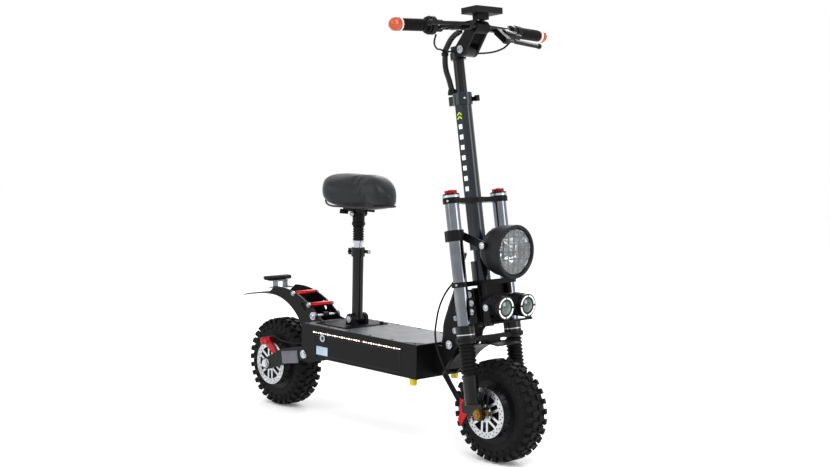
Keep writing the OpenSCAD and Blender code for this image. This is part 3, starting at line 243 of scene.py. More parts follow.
class FinishShop:
    """Builds each finish's node material once."""

    def __init__(self) -> None:
        self.made: dict[str, bpy.types.Material] = {}

    def get(self, finish: Finish) -> bpy.types.Material:
        """Returns the material of a finish, building it the first time."""
        if finish.name not in self.made:
            self.made[finish.name] = self._build(finish)
        return self.made[finish.name]

    @staticmethod
    def _add(tree: bpy.types.NodeTree, kind: str, **values: object) -> bpy.types.Node:
        """Adds a node; names that aren't attributes are input sockets."""
        node = tree.nodes.new("ShaderNode" + kind)
        for name, value in values.items():
            if hasattr(node, name):
                setattr(node, name, value)
            else:
                node.inputs[name.replace("_", " ").title()].default_value = value
        return node

    def _build(self, finish: Finish) -> bpy.types.Material:
        material = bpy.data.materials.new(finish.name)
        material.use_nodes = True
        tree = material.node_tree
        shader = tree.nodes["Principled BSDF"]
        shader.inputs["Metallic"].default_value = finish.metal
        shader.inputs["Coat Weight"].default_value = finish.coat
        shader.inputs["Coat Roughness"].default_value = 0.12
        shader.inputs["Transmission Weight"].default_value = finish.clear
        shader.inputs["Sheen Weight"].default_value = finish.sheen
        shader.inputs["Specular IOR Level"].default_value = finish.gloss
        if finish.glow:
            shader.inputs["Emission Color"].default_value = srgb(finish.colour)
            shader.inputs["Emission Strength"].default_value = finish.glow
        place = self._add(tree, "TexCoord").outputs["Object"]
        drift = self._add(tree, "TexNoise", scale=14.0, detail=3.0, roughness=0.6)
        tree.links.new(place, drift.inputs["Vector"])
        height = self._grain(tree, finish, place)
        colour = self._colour(tree, finish, drift.outputs["Fac"], height)
        tree.links.new(colour, shader.inputs["Base Color"])
        spread = self._add(tree, "MapRange")
        spread.inputs["From Min"].default_value = 0.3
        spread.inputs["From Max"].default_value = 0.7
        spread.inputs["To Min"].default_value = finish.rough * 0.85
        spread.inputs["To Max"].default_value = min(1.0, finish.rough * 1.2)
        tree.links.new(drift.outputs["Fac"], spread.inputs["Value"])
        tree.links.new(spread.outputs["Result"], shader.inputs["Roughness"])
        if finish.depth:
            bump = self._add(tree, "Bump")
            bump.inputs["Distance"].default_value = finish.depth * MM
            bump.inputs["Strength"].default_value = 0.8
            tree.links.new(height, bump.inputs["Height"])
            tree.links.new(bump.outputs["Normal"], shader.inputs["Normal"])
        return material

    def _grain(self, tree: bpy.types.NodeTree, finish: Finish, place: bpy.types.NodeSocket) -> bpy.types.NodeSocket:
        """Adds the pattern of a finish and returns its height."""
        per_metre = 1 / (finish.size * MM)
        if finish.grain is Grain.LEATHER:
            cells = self._add(tree, "TexVoronoi", feature="DISTANCE_TO_EDGE", scale=per_metre)
            tree.links.new(place, cells.inputs["Vector"])
            return cells.outputs["Distance"]
        if finish.grain is Grain.WRAP:
            bands = self._add(tree, "TexWave", bands_direction="Z", scale=per_metre * 0.31, distortion=0.4)
            tree.links.new(place, bands.inputs["Vector"])
            return bands.outputs["Fac"]
        noise = self._add(tree, "TexNoise", scale=per_metre, detail=4.0, roughness=0.6)
        if finish.grain is Grain.BRUSHED:
            stretch = self._add(tree, "Mapping")
            stretch.inputs["Scale"].default_value = (1.0, 0.06, 1.0)
            tree.links.new(place, stretch.inputs["Vector"])
            tree.links.new(stretch.outputs["Vector"], noise.inputs["Vector"])
        else:
            tree.links.new(place, noise.inputs["Vector"])
        return noise.outputs["Fac"]

    def _colour(self, tree: bpy.types.NodeTree, finish: Finish, drift: bpy.types.NodeSocket,
                height: bpy.types.NodeSocket) -> bpy.types.NodeSocket:
        """Mixes the two colours, the grain's sparkle and the lighter edges of rubbed wear and painted highlight."""
        factor = height if finish.grain in (Grain.GRIT, Grain.RUBBER) else drift
        ramp = self._add(tree, "MapRange")
        ramp.inputs["From Min"].default_value = 0.38
        ramp.inputs["From Max"].default_value = 0.64
        tree.links.new(factor, ramp.inputs["Value"])
        out = self._mix(tree, ramp.outputs["Result"], srgb(finish.colour), srgb(finish.shade))
        # convex edges turn lighter: rubbed wear and a painted edge highlight
        if finish.edge_wear_and_highlight:
            out = self._mix(tree, self._rubbed_and_highlit_edges(tree, drift), out, srgb(finish.edge_wear_and_highlight))
        return out

    def _mix(self, tree: bpy.types.NodeTree, factor: bpy.types.NodeSocket, a: object,
             b: object) -> bpy.types.NodeSocket:
        mix = self._add(tree, "Mix", data_type="RGBA")
        tree.links.new(factor, mix.inputs[0])
        for socket, value in ((mix.inputs[6], a), (mix.inputs[7], b)):
            if isinstance(value, bpy.types.NodeSocket):
                tree.links.new(value, socket)
            else:
                socket.default_value = value
        return mix.outputs[2]

    def _rubbed_and_highlit_edges(self, tree: bpy.types.NodeTree, drift: bpy.types.NodeSocket) -> bpy.types.NodeSocket:
        """Finds convex edges by comparing a rounded normal with the true one; they take the edge colour of rubbed wear
        and painted highlight.
        """
        rounded = self._add(tree, "Bevel", samples=3)
        rounded.inputs["Radius"].default_value = 0.9 * MM
        true = self._add(tree, "NewGeometry")
        dot = self._add(tree, "VectorMath", operation="DOT_PRODUCT")
        tree.links.new(rounded.outputs["Normal"], dot.inputs[0])
        tree.links.new(true.outputs["Normal"], dot.inputs[1])
        edge = self._add(tree, "MapRange")
        edge.inputs["From Min"].default_value = 0.97
        edge.inputs["From Max"].default_value = 0.8
        edge.inputs["To Max"].default_value = 0.75
        tree.links.new(dot.outputs["Value"], edge.inputs["Value"])
        rub_and_shine_mask = self._add(tree, "Math", operation="MULTIPLY")
        tree.links.new(edge.outputs["Result"], rub_and_shine_mask.inputs[0])
        tree.links.new(drift, rub_and_shine_mask.inputs[1])
        return rub_and_shine_mask.outputs["Value"]


SHOP = FinishShop()


# ---------------------------------------------------------------- shapes
def shifted(x: float, y: float, z: float) -> Matrix:
    """A shift by x, y and z."""
    return Matrix.Translation((x, y, z))


def rotated(angle: float, axis: str) -> Matrix:
    """A rotation by an angle in radians about the axis X, Y or Z."""
    return Matrix.Rotation(angle, 4, axis)


def aim(place: Sequence[float], axis: Vector) -> Matrix:
    """A transform whose Z runs along axis and whose origin is place, in mm."""
    return Matrix.Translation(Vector(place)) @ Vector(axis).to_track_quat("Z", "Y").to_matrix().to_4x4()


class Shape:
    """A mesh piece under construction, in millimetres."""

    def __init__(self, base: Optional[Matrix] = None) -> None:
        self.mesh = bmesh.new()
        self.base = base or Matrix.Identity(4)

    def _soften(self, verts: Iterable, edge: float, segments: int) -> None:
        """Bevels the sharp edges among verts."""
        if edge <= 0:
            return
        chosen = set(verts)
        sharp = [e for e in self.mesh.edges
                 if e.verts[0] in chosen and e.verts[1] in chosen and len(e.link_faces) == 2
                 and e.calc_face_angle() > math.radians(30)]
        bmesh.ops.bevel(self.mesh, geom=sharp, offset=edge, offset_type="OFFSET", segments=segments, profile=0.5,
                        affect="EDGES", material=-1)

    def rod(self, at: Matrix, length: float, radius: float, end: Optional[float] = None, sides: int = 32,
            edge: float = 0.0, segments: int = 2) -> "Shape":
        """Adds a cylinder or cone that starts at the transform's origin."""
        made = bmesh.ops.create_cone(self.mesh, cap_ends=True, segments=sides, radius1=radius,
                                     radius2=radius if end is None else end, depth=length,
                                     matrix=at @ shifted(0, 0, length / 2))
        self._soften(made["verts"], edge, segments)
        return self

    def block(self, at: Matrix, size: Sequence[float], edge: float = 0.5, segments: int = 2) -> "Shape":
        """Adds a cuboid centred on the transform."""
        made = bmesh.ops.create_cube(self.mesh, size=1.0, matrix=at @ Matrix.Diagonal((*size, 1.0)))
        self._soften(made["verts"], edge, segments)
        return self

    def lathe(self, at: Matrix, profile: Sequence[tuple[float, float]], sides: int = 64) -> "Shape":
        """Spins a closed profile of (radius, height) about the transform's Z."""
        verts = [self.mesh.verts.new((r, 0, h)) for r, h in profile]
        edges = [self.mesh.edges.new((verts[i], verts[(i + 1) % len(verts)])) for i in range(len(verts))]
        before = set(self.mesh.verts) - set(verts)
        bmesh.ops.spin(self.mesh, geom=verts + edges, axis=(0, 0, 1), cent=(0, 0, 0), dvec=(0, 0, 0),
                       angle=math.tau, steps=sides, use_merge=True)
        new = [v for v in self.mesh.verts if v not in before]
        bmesh.ops.remove_doubles(self.mesh, verts=new, dist=0.001)
        new = [v for v in self.mesh.verts if v not in before]
        bmesh.ops.transform(self.mesh, matrix=at, verts=new)
        return self

    def ring(self, at: Matrix, outer: float, inner: float, height: float, edge: float = 0.4,
             sides: int = 64) -> "Shape":
        """Adds a flat ring with chamfered rims."""
        e = min(edge, height / 3)
        return self.lathe(at, [(inner, 0), (outer - e, 0), (outer, e), (outer, height - e), (outer - e, height),
                               (inner + e, height), (inner, height - e)], sides)

    def bolt(self, at: Matrix, radius: float, height: float, washer: float = 0.0) -> "Shape":
        """Adds a button head with a hexagon socket, and a washer under it."""
        if washer:
            self.ring(at, washer, radius * 0.5, 1.2, 0.3, 28)
            at = at @ shifted(0, 0, 1.2)
        socket = radius * 0.5
        self.lathe(at, [(0, 0), (radius, 0), (radius, height * 0.35), (radius * 0.8, height * 0.85),
                        (radius * 0.6, height), (socket, height), (socket, height * 0.45), (0, height * 0.45)], 12)
        return self

    def finish(self, name: str, body: str, finish: Finish, replaces: Sequence[str] = (), slot: str = "",
               angle: float = 32.0) -> bpy.types.Object:
        """Turns the shape into a scene object riding on a body.

        Args:
            name: Name of the piece.
            body: CAD body that it moves with, or an empty string for a blended piece.
            finish: Its material.
            replaces: CAD nodes that it stands for.
            slot: Material slot of the record; not used.
            angle: Smoothing angle in degrees.

        Returns:
            The new object.
        """
        bmesh.ops.transform(self.mesh, matrix=Matrix.Scale(MM, 4) @ self.base, verts=self.mesh.verts)
        bmesh.ops.recalc_face_normals(self.mesh, faces=self.mesh.faces)
        data = bpy.data.meshes.new(name)
        self.mesh.to_mesh(data)
        self.mesh.free()
        data.shade_smooth()
        data.set_sharp_from_angle(angle=math.radians(angle))
        return register(data, name, body, finish, replaces)


def register(data: bpy.types.Mesh, name: str, body: str, finish: Finish, replaces: Sequence[str] = ()) -> bpy.types.Object:
    """Links a mesh as a piece of the scooter."""
    data.name = name
    data.materials.clear()
    data.materials.append(SHOP.get(finish))
    piece = bpy.data.objects.new(name, data)
    bpy.context.collection.objects.link(piece)
    if body:
        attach(piece, body)
    if replaces:
        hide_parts(*replaces)
    return piece


def tube(points: Sequence[Sequence[float]], radius: float, smooth: bool = True) -> bpy.types.Mesh:
    """A round tube mesh along points given in mm."""
    curve = bpy.data.curves.new("route", "CURVE")
    curve.dimensions = "3D"
    curve.bevel_depth = radius * MM
    curve.bevel_resolution = 3
    curve.use_fill_caps = True
    spline = curve.splines.new("BEZIER" if smooth else "POLY")
    knots = spline.bezier_points if smooth else spline.points
    knots.add(len(points) - 1)
    for knot, point in zip(knots, points):
        where = Vector(point) * MM
        knot.co = where if smooth else (*where, 1.0)
        if smooth:
            knot.handle_left_type = knot.handle_right_type = "AUTO"
    holder = bpy.data.objects.new("route", curve)
    bpy.context.collection.objects.link(holder)
    bpy.context.view_layer.update()
    data = bpy.data.meshes.new_from_object(holder.evaluated_get(bpy.context.evaluated_depsgraph_get()))
    bpy.data.objects.remove(holder)
    data.shade_smooth()
    return data


# ---------------------------------------------------------------- places
def joint(name: str) -> dict:
    """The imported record's joint of that name."""
    return next(j for j in frame["record"]["behaviour"]["joints"] if j["name"] == name)


def corners(node: str) -> tuple[Vector, Vector]:
    """A CAD node's corners in mm."""
    low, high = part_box(node)
    return Vector(low) / MM, Vector(high) / MM


def middle(node: str) -> Vector:
    """The middle of a CAD node's box in mm."""
    low, high = corners(node)
    return (low + high) / 2


STEER_AXIS = Vector(joint("steering")["axis"])
STEER = Matrix.Translation(Vector(joint("steering")["pos_m"]) / MM) @ Matrix(
    ((STEER_AXIS.z, 0, STEER_AXIS.x, 0), (0, 1, 0, 0), (-STEER_AXIS.x, 0, STEER_AXIS.z, 0), (0, 0, 0, 1)))


def steer_at(u: float, v: float, w: float, axis: Vector = UP) -> Matrix:
    """A transform in the steering frame."""
    return STEER @ aim((u, v, w), axis)


LEG_OFFSET = 9.1
LEG_Y = 95.0
LEGS = [(LEG_OFFSET, side * LEG_Y) for side in (-1, 1)]


# ---------------------------------------------------------------- wheels
class Wheel:
    """A hub-motor wheel with a block-tread tyre."""

    PITCHES = 30
    BLOCK_H = 7.0

    def __init__(self, end: str) -> None:
        self.end = end
        self.body = f"{end}_wheel"
        low, high = corners(f"{end}_tyre")
        self.centre = (low + high) / 2
        self.radius = (high.z - low.z) / 2
        self.half = (high.y - low.y) / 2
        hub_low, hub_high = corners(f"{end}_hub")
        self.rim = (hub_high.z - hub_low.z) / 2
        self.axle = aim(self.centre, CROSS)

    def build(self) -> None:
        """Adds the tyre, the covers and the small fasteners."""
        self._tyre()
        self._covers()
        self._fasteners()

    def _tyre(self) -> None:
        base = self.radius - self.BLOCK_H
        side = []
        for i in range(15):
            t = math.pi / 2 * i / 14
            bulge = 0.8 + 0.2 * min(1.0, 2.5 * i / 14)
            side.append((self.rim + (base - self.rim) * math.sin(t) ** 1.1,
                         (self.half - 1.0) * bulge * math.cos(t) ** 0.5 if i < 14 else 0.0))
        for index, swell in ((4, 1.2), (6, 1.2)):
            r, y = side[index]
            side[index] = (r, y + swell * 0.6)
        profile = [(r, -y) for r, y in side] + [(r, y) for r, y in reversed(side[:-1])]
        tyre = Shape().lathe(self.axle, profile, 96)
        for i in range(self.PITCHES):
            turn = math.tau * i / self.PITCHES
            half = math.pi / self.PITCHES
            for side_y, extra in ((-1, 0.0), (1, half)):
                tyre.block(self._spot(turn + extra, side_y * 12.5, 0, 5.0), (16.5, 19, self.BLOCK_H + 8), 1.4, 1)
                tyre.block(self._spot(turn + extra + half, side_y * 31.5, side_y * 24, 3.4),
                           (15, 15, self.BLOCK_H + 7), 1.4, 1)
                tyre.block(self._spot(turn + extra, side_y * 39.6, side_y * 62, 6.5), (11, 12, 6), 1.2, 1)
        piece = tyre.finish(f"{self.end}_tyre_block_tread", self.body, TYRE, [f"{self.end}_tyre"], "tyre_rubber", 28)
        LOG.info("%s has %d faces", piece.name, len(piece.data.polygons))

    def _spot(self, turn: float, y: float, tilt: float, sink: float) -> Matrix:
        """Where a tread block stands: at angle turn, y across, tilted outward."""
        reach = self.radius - self.BLOCK_H / 2 - sink - abs(tilt) * 0.16 - (8.5 if abs(tilt) > 40 else 0)
        return (Matrix.Translation(self.centre) @ rotated(turn, "Y") @ shifted(0, y, reach)
                @ rotated(-math.radians(tilt), "X"))

    def _covers(self) -> None:
        dish = Shape()
        for side in (-1, 1):
            at = aim(self.centre, CROSS * side)
            dish.lathe(at, [(58, 50.5), (61, 51.2), (64, 49), (self.rim - 16, 37), (self.rim - 5, 34.5),
                            (self.rim + 1.5, 36.5), (self.rim + 1.5, 30), (58, 30)], 72)
            for i in range(18):
                spin = rotated(math.tau * i / 18, "Z")
                dish.block(at @ spin @ shifted(68, 0, 44) @ rotated(0.55, "Y"),
                           (13, 3, 5), 0.8, 1)
        dish.finish(f"{self.end}_motor_covers", self.body, BLACK_ANODISED, slot="dark_alloy")

    def _fasteners(self) -> None:
        bolts = Shape()
        for side in (-1, 1):
            at = aim(self.centre, CROSS * side)
            for i in range(6):
                spin = rotated(math.tau * (i + 0.5) / 6, "Z")
                bolts.bolt(at @ spin @ shifted(51.5, 0, 51.9), 4.6, 3.2)
                if side == -1:
                    bolts.bolt(at @ spin @ shifted(19, 0, 62.6), 4.2, 2.6)
        bolts.finish(f"{self.end}_cover_bolts", self.body, ZINC, slot="zinc_steel")
        valve_at = aim(self.centre + Vector((0, 30, self.rim - 4)), Vector((0, 0.6, -1)))
        valve = Shape().rod(valve_at, 16, 3.4, 2.8, 16, 0.5)
        valve.finish(f"{self.end}_tyre_valve", self.body, SOFT_RUBBER, slot="black_rubber")


# ---------------------------------------------------------------- fork and stem
class Fork:
    """The sprung front fork's rubber parts and fasteners."""

    def build(self) -> None:
        """Adds the bellows, bolts and trims."""
        start = STEER @ Vector((0, 0, 112))
        end = STEER @ Vector((0, 0, 192))
        bellows = Shape()
        for u, v in LEGS:
            folds = 8
            pitch = 82.0 / folds
            profile = [(14.6, 0.0)]
            for i in range(folds):
                z = i * pitch
                profile += [(19.0, z + 0.4), (23.6, z + pitch * 0.42), (23.9, z + pitch * 0.55),
                            (19.4, z + pitch * 0.96)]
            profile += [(19.4, 83.0), (14.6, 83.0)]
            bellows.lathe(steer_at(u, v, 110.5), profile, 48)
        piece = bellows.finish("fork_rubber_bellows", "", SOFT_RUBBER, ["fork_bellows"], "black_rubber", 50)
        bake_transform(piece, "fork_slider", "steer", start=tuple(start * MM), end=tuple(end * MM))
        self._trims()
        self._marks()
        hose = tube([(379.0, -71, 501), (354, -95, 447), (334, -100, 376), (333, -100, 328), (351, -99, 280),
                     (379, -98, 238), (404, -90, 196), (418, -76, 172)], 2.8)
        route = register(hose, "front_brake_hose_run", "", SOFT_RUBBER, ["front_brake_hose"])
        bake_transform(route, "fork_slider", "steer", start=(0.418, -0.08, 0.175), end=(0.34, -0.09, 0.46))

    def _trims(self) -> None:
        silver, black = Shape(), Shape()
        for u, v in LEGS:
            side = 1 if v > 0 else -1
            silver.ring(steer_at(u, v, 216), 25.6, 24.6, 3.2, 0.5)
            black.ring(steer_at(u, v, 194.3), 26.2, 24.6, 6.0, 1.2)
            black.ring(steer_at(u, v, 236), 26.0, 24.6, 6.2, 1.5)
            silver.ring(steer_at(u, v, 592), 23.6, 22.4, 7.0, 0.8)
            for w in (353.5, 583):
                silver.bolt(steer_at(u + 8, v + side * 23.4, w, Vector((0, side, 0))), 3.6, 3.0)
            silver.bolt(steer_at(u - 22, v - 8, 488, Vector((0, -1, 0))), 3.4, 3.0)
        silver.bolt(steer_at(23.8, -17, 867, Vector((1, -0.3, 0))), 3.2, 2.6)
        silver.finish("fork_clamp_bolts", "steer", ZINC, slot="zinc_steel")
        black.finish("fork_lip_rings", "steer", BLACK_GLOSS, slot="black_paint")
        low = Shape()
        for u, v in LEGS:
            low.ring(steer_at(u, v, 101), 22.4, 20.9, 7.2, 1.5)
            low.ring(steer_at(u, v, 27.2), 22.0, 20.9, 5.0, 1.5)
        low.finish("fork_leg_bands", "fork_slider", BLACK_GLOSS, slot="black_paint")
        adjust = Shape()
        for u, v in LEGS:
            adjust.rod(steer_at(u, v, 611.6), 4.0, 6.4, 5.6, 6, 0.6)
        adjust.finish("fork_cap_adjusters", "steer", ZINC, slot="zinc_steel")

    def _marks(self) -> None:
        lime, white = Shape(), Shape()
        for side in (-1, 1):
            for i in range(2):
                for lean in (-1, 1):
                    at = STEER @ shifted(lean * 4.0, side * 19.7, 826 - i * 11) @ rotated(
                        lean * 0.75, "Y")
                    lime.block(at, (11, 0.9, 4.0), 0.15, 1)
            for i in range(7):
                white.block(STEER @ shifted(0, side * 19.7, 790 - i * 29), (13, 0.9, 13), 0.4, 1)
        lime.finish("stem_chevrons", "steer", LIME_VINYL, slot="stem_paint")
        white.finish("stem_stripes", "steer", WHITE_VINYL, slot="stem_paint")


# ---------------------------------------------------------------- lamps
class Headlight:
    """The large round lamp: reflector, grille and rim."""

    def build(self) -> None:
        """Adds what shows behind and on the lens."""
        low, high = corners("headlight_shell")
        radius = (high.z - low.z) / 2
        face = Vector((high.x - 3, 0, (high.z + low.z) / 2))
        at = aim(face, FORWARD)
        bowl = Shape().lathe(at, [(0, -76), (16, -74), (34, -66), (50, -48), (radius - 12, -12.5),
                                  (radius - 13.5, -12.2), (48, -46), (33, -63), (16, -70), (0, -72)], 20)
        bowl.finish("headlight_reflector", "headlight", REFLECTOR, slot="polished_tube", angle=5)
        grille = Shape()
        reach = radius - 12.8
        for i in range(-2, 3):
            off = i * 20.0
            half = math.sqrt(reach ** 2 - off ** 2)
            grille.block(at @ shifted(off, 0, -12.2), (3.4, 2 * half, 3.0), 0.4, 1)
            grille.block(at @ shifted(0, off, -12.2), (2 * half, 3.4, 3.0), 0.4, 1)
        grille.finish("headlight_grille", "headlight", LAMP_BLACK, slot="black_plastic")
        rim = Shape().ring(at @ shifted(0, 0, -0.6), radius - 0.6, radius - 6.5, 3.2, 1.0, 96)
        rim.finish("headlight_rim", "headlight", LAMP_BLACK, slot="black_plastic")
        bulb = Shape().rod(at @ shifted(0, 0, -72), 26, 5.5, 4.5, 24, 1.5)
        bulb.finish("headlight_bulb", "headlight", CLEAR_LENS, slot="lamp_glass")
        pin = joint("headlight_tilt")["pos_m"]
        bolts = Shape()
        for side in (-1, 1):
            spot = Vector(pin) / MM + Vector((0, side * 77.6, 0))
            bolts.bolt(aim(spot, CROSS * side), 7, 4.2, 9.5)
        bolts.finish("headlight_arm_bolts", "steer", ZINC, slot="zinc_steel")


class TwinLamps:
    """The two small round lamps under the lower crown."""

    def build(self) -> None:
        """Adds halo rings, projector lenses, fins and bolts."""
        low, high = corners("twin_lamps")
        z = (low.z + high.z) / 2
        fins, halo, glass, cup = Shape(), Shape(), Shape(), Shape()
        for side in (-1, 1):
            at = aim((high.x, side * 43.7, z), FORWARD)
            for i in range(5):
                fins.ring(at @ shifted(0, 0, -18 - i * 6.4), 32.4, 29.6, 2.4, 0.5, 48)
            cup.ring(at @ shifted(0, 0, -0.6), 32, 29.2, 2.6, 1.0, 64)
            cup.lathe(at, [(19, 0), (23, 0), (23, 1.4), (20.6, 2.2), (19, 1.2)], 48)
            for q in range(4):
                self._halo_arc(halo, at, math.radians(90 * q + 6))
            glass.lathe(at, [(0, -1), (19.2, -1), (19.2, 0.4), (15, 2.6), (8, 4.2), (0, 4.8)], 40)
        fins.finish("lamp_cooling_fins", "lamp_pair", BLACK_ANODISED, slot="dark_alloy")
        cup.finish("lamp_bezels", "lamp_pair", BLACK_GLOSS, slot="dark_alloy")
        halo.finish("lamp_halo_rings", "lamp_pair", WHITE_RING, slot="lamp_glass")
        glass.finish("lamp_projector_lenses", "lamp_pair", TINTED_LENS, slot="lamp_glass", angle=60)
        bolts = Shape()
        for side in (-1, 1):
            pin = Vector(joint("lamp_tilt")["pos_m"]) / MM
            bolts.bolt(aim(pin + Vector((0, side * 84.2, 0)), CROSS * side), 6.5, 4, 9)
        bolts.finish("lamp_side_bolts", "steer", ZINC, slot="zinc_steel")
        shelf = Shape()
        for side in (-1, 1):
            shelf.block(steer_at(62, side * 70, 240.5), (40, 20, 2.4), 0.5, 2)
        shelf.finish("lamp_shelf_edges", "steer", ZINC, slot="zinc_steel")

    @staticmethod
    def _halo_arc(halo: Shape, at: Matrix, start: float) -> None:
        """Spins one quarter of a light ring."""
        mesh = halo.mesh
        before = set(mesh.verts)
        verts = [mesh.verts.new((r * math.cos(start), r * math.sin(start), h))
                 for r, h in ((24.5, 0), (28.2, 0), (28.2, 1.5), (24.5, 1.5))]
        face = mesh.faces.new(verts)
        bmesh.ops.spin(mesh, geom=[face] + verts + list(face.edges), axis=(0, 0, 1), cent=(0, 0, 0), dvec=(0, 0, 0),
                       angle=math.radians(78), steps=14, use_merge=False)
        bmesh.ops.transform(mesh, matrix=at, verts=[v for v in mesh.verts if v not in before])


# ---------------------------------------------------------------- handlebar
class Cockpit:
    """Grips, controls, display and cables on the handlebar."""

    SWEEP = math.radians(5.5)
    DROP = math.radians(1.8)

    def __init__(self) -> None:
        self.centre = Vector(joint("bar_tilt")["pos_m"]) / MM + Vector((42, 0, 60))

    def along(self, side: int, y: float, roll: float = 0.0) -> Matrix:
        """The bar's own frame at the distance y from the middle plane."""
        out = (y - 40) / (math.cos(self.SWEEP) * math.cos(self.DROP))
        return (Matrix.Translation(self.centre + Vector((0, side * 40, 0))) @ rotated(side * self.SWEEP, "Z")
                @ rotated(-side * (math.pi / 2 + self.DROP), "X")
                @ rotated(side * math.radians(roll), "Z") @ shifted(0, 0, out))

    def build(self) -> None:
        """Adds everything on the bar."""
        self._grips()
        self._ends()
        self._display()
        self._controls()
        self._cables()

    def _grips(self) -> None:
        for side, body, node, start in ((1, "bar", "left_grip", 181.3), (-1, "throttle", "throttle_grip", 181.3)):
            profile = [(11.1, 0.0), (15.2, 0.0)]
            ribs = 20
            span = 87.0
            for i in range(ribs):
                z = 2 + span * (i + 0.5) / ribs
                profile += [(15.0, z - 1.7), (16.5, z - 1.0), (16.5, z + 0.9), (15.0, z + 1.6)]
            profile += [(15.2, span + 3), (11.1, span + 3)]
            grip = Shape().lathe(self.along(side, start), profile, 48)
            if side < 0:
                flange = [(11.1, 0), (22, 0), (22.4, 1.5), (22.4, 4.5), (21.4, 6), (11.1, 6)]
                grip.lathe(self.along(side, start), flange, 48)
            grip.finish(f"{node}_ribbed", body, SOFT_RUBBER, [node], "black_rubber")

    def _ends(self) -> None:
        amber, rings = Shape(), Shape()
        for side in (-1, 1):
            at = self.along(side, 269)
            amber.lathe(at, [(11.2, 0), (15.4, 0), (15.4, 5.5), (18.4, 9), (18.6, 24), (16, 30), (11, 35.4), (5, 37.6),
                             (0, 37.6), (0, 12.5), (11.2, 12.5)], 10)
            rings.ring(at @ shifted(0, 0, 6.2), 18.7, 15, 2.6, 0.5, 40)
        amber.finish("amber_end_lights", "bar", AMBER, ["bar_end_lights"], "amber_plastic", 12)
        rings.finish("end_light_rings", "bar", WHITE_RING, slot="amber_plastic")

    def _display(self) -> None:
        top = Vector((self.centre.x + 12, 0, self.centre.z + 44))
        at = Matrix.Translation(top) @ rotated(-math.radians(6), "Y")
        bezel = Shape().block(at @ shifted(0, 0, 7.3), (57, 103, 3.2), 1.4, 3)
        bezel.finish("display_bezel", "bar", BLACK_PLASTIC, slot="black_plastic")
        glass = Shape().block(at @ shifted(2, 0, 8.7), (40, 78, 1.2), 0.4, 2)
        glass.finish("display_glass", "bar", SCREEN, slot="lamp_glass")
        keys = Shape()
        for side in (-1, 1):
            keys.block(at @ shifted(-23.5, side * 18, 8.9), (6, 18, 1.6), 0.6, 2)
        keys.finish("display_keys", "bar", GREY_ALLOY, slot="black_plastic")
        screws = Shape()
        for side in (-1, 1):
            for x in (-10, 10):
                screws.bolt(Matrix.Translation(self.centre + Vector((x, side * 12, 18.3))), 3, 2.4)
            pin = Vector(joint("bar_tilt")["pos_m"]) / MM
            screws.bolt(aim(pin + Vector((0, side * 27.6, 0)), CROSS * side), 7.5, 3.6, 11)
        screws.finish("bar_clamp_bolts", "bar", ZINC, slot="zinc_steel")

    def _controls(self) -> None:
        caps, screws = Shape(), Shape()
        for side, roll in ((-1, -4), (1, 38)):
            at = self.along(side, 104, roll) @ shifted(21, 0, 0)
            caps.block(at @ shifted(0, -10.4, 4), (20, 3.4, 46), 1.5, 2)
            for z in (-14, 22):
                screws.bolt(at @ shifted(0, -12, z) @ rotated(math.pi / 2, "X"), 2.4, 1.8)
            clamp = self.along(side, 146, roll)
            screws.bolt(clamp @ shifted(14, -7, 0) @ rotated(math.pi / 2, "Y"), 3.2, 3)
            screws.rod(self.along(side, 150, roll) @ shifted(21, 0, 0), 16, 3.6, 3.0, 12, 0.5)
        caps.finish("reservoir_caps", "bar", BLACK_GLOSS, slot="dark_alloy")
        screws.finish("brake_fittings", "bar", ZINC, slot="zinc_steel")
        pod = Shape()
        for i in range(3):
            pod.block(self.along(1, 168) @ shifted(-10 + 6 * i, 25.4, 0), (4.2, 2.2, 9), 0.7, 2)
        pod.finish("switch_rockers", "bar", GREY_ALLOY, slot="button_plastic")

    def _cables(self) -> None:
        c = self.centre
        loom = [(-46, -24, -10), (-80, -20, -26), (-112, -16, -62), (-112, -12, -110), (-98, -10, -146),
                (-88, -8, -176)]
        routes = {
            "cockpit_loom": (loom[:3], 8.0, WRAPPED, ["cable_harness"]),
            "right_brake_lead": ([(-14, -150, -28), (-40, -130, -46), (-70, -90, -60), (-96, -50, -60),
                                  (-110, -20, -64)], 2.6, SOFT_RUBBER, []),
            "left_brake_lead": ([(-12, 150, -28), (-20, 120, -52), (-50, 70, -66), (-90, 20, -62), (-110, -12, -64)],
                                2.6, SOFT_RUBBER, []),
        }
        for name, (points, radius, finish, nodes) in routes.items():
            lead = register(tube([c + Vector(p) for p in points], radius), name, "", finish, nodes)
            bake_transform(lead, "bar", "stem_post", start=tuple((c + Vector((-30, 0, -8))) * MM),
                     end=tuple((c + Vector((-108, 0, -56))) * MM))
        tail = register(tube([c + Vector(p) for p in loom[2:]], 8.0), "loom_tail", "", WRAPPED)
        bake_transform(tail, "stem_post", "steer", start=tuple((c + Vector((-112, 0, -66))) * MM),
                 end=tuple((c + Vector((-88, 0, -172))) * MM))
        tie = Shape().ring(aim(c + Vector((-112, -16, -67)), -UP), 10.2, 8.1, 9, 1.0, 32)
        tie.finish("loom_tie", "stem_post", BLACK_PLASTIC, slot="black_rubber")
        low = c + Vector((-88, -8, -178))
        boot_profile = [(8.2, -9), (10.5, -9), (12.5, 0), (12.5, 7), (8.2, 7)]
        boot = Shape().lathe(aim(low, Vector((0.1, 0, -1))), boot_profile, 32)
        boot.finish("loom_boot", "steer", SOFT_RUBBER, slot="black_rubber")


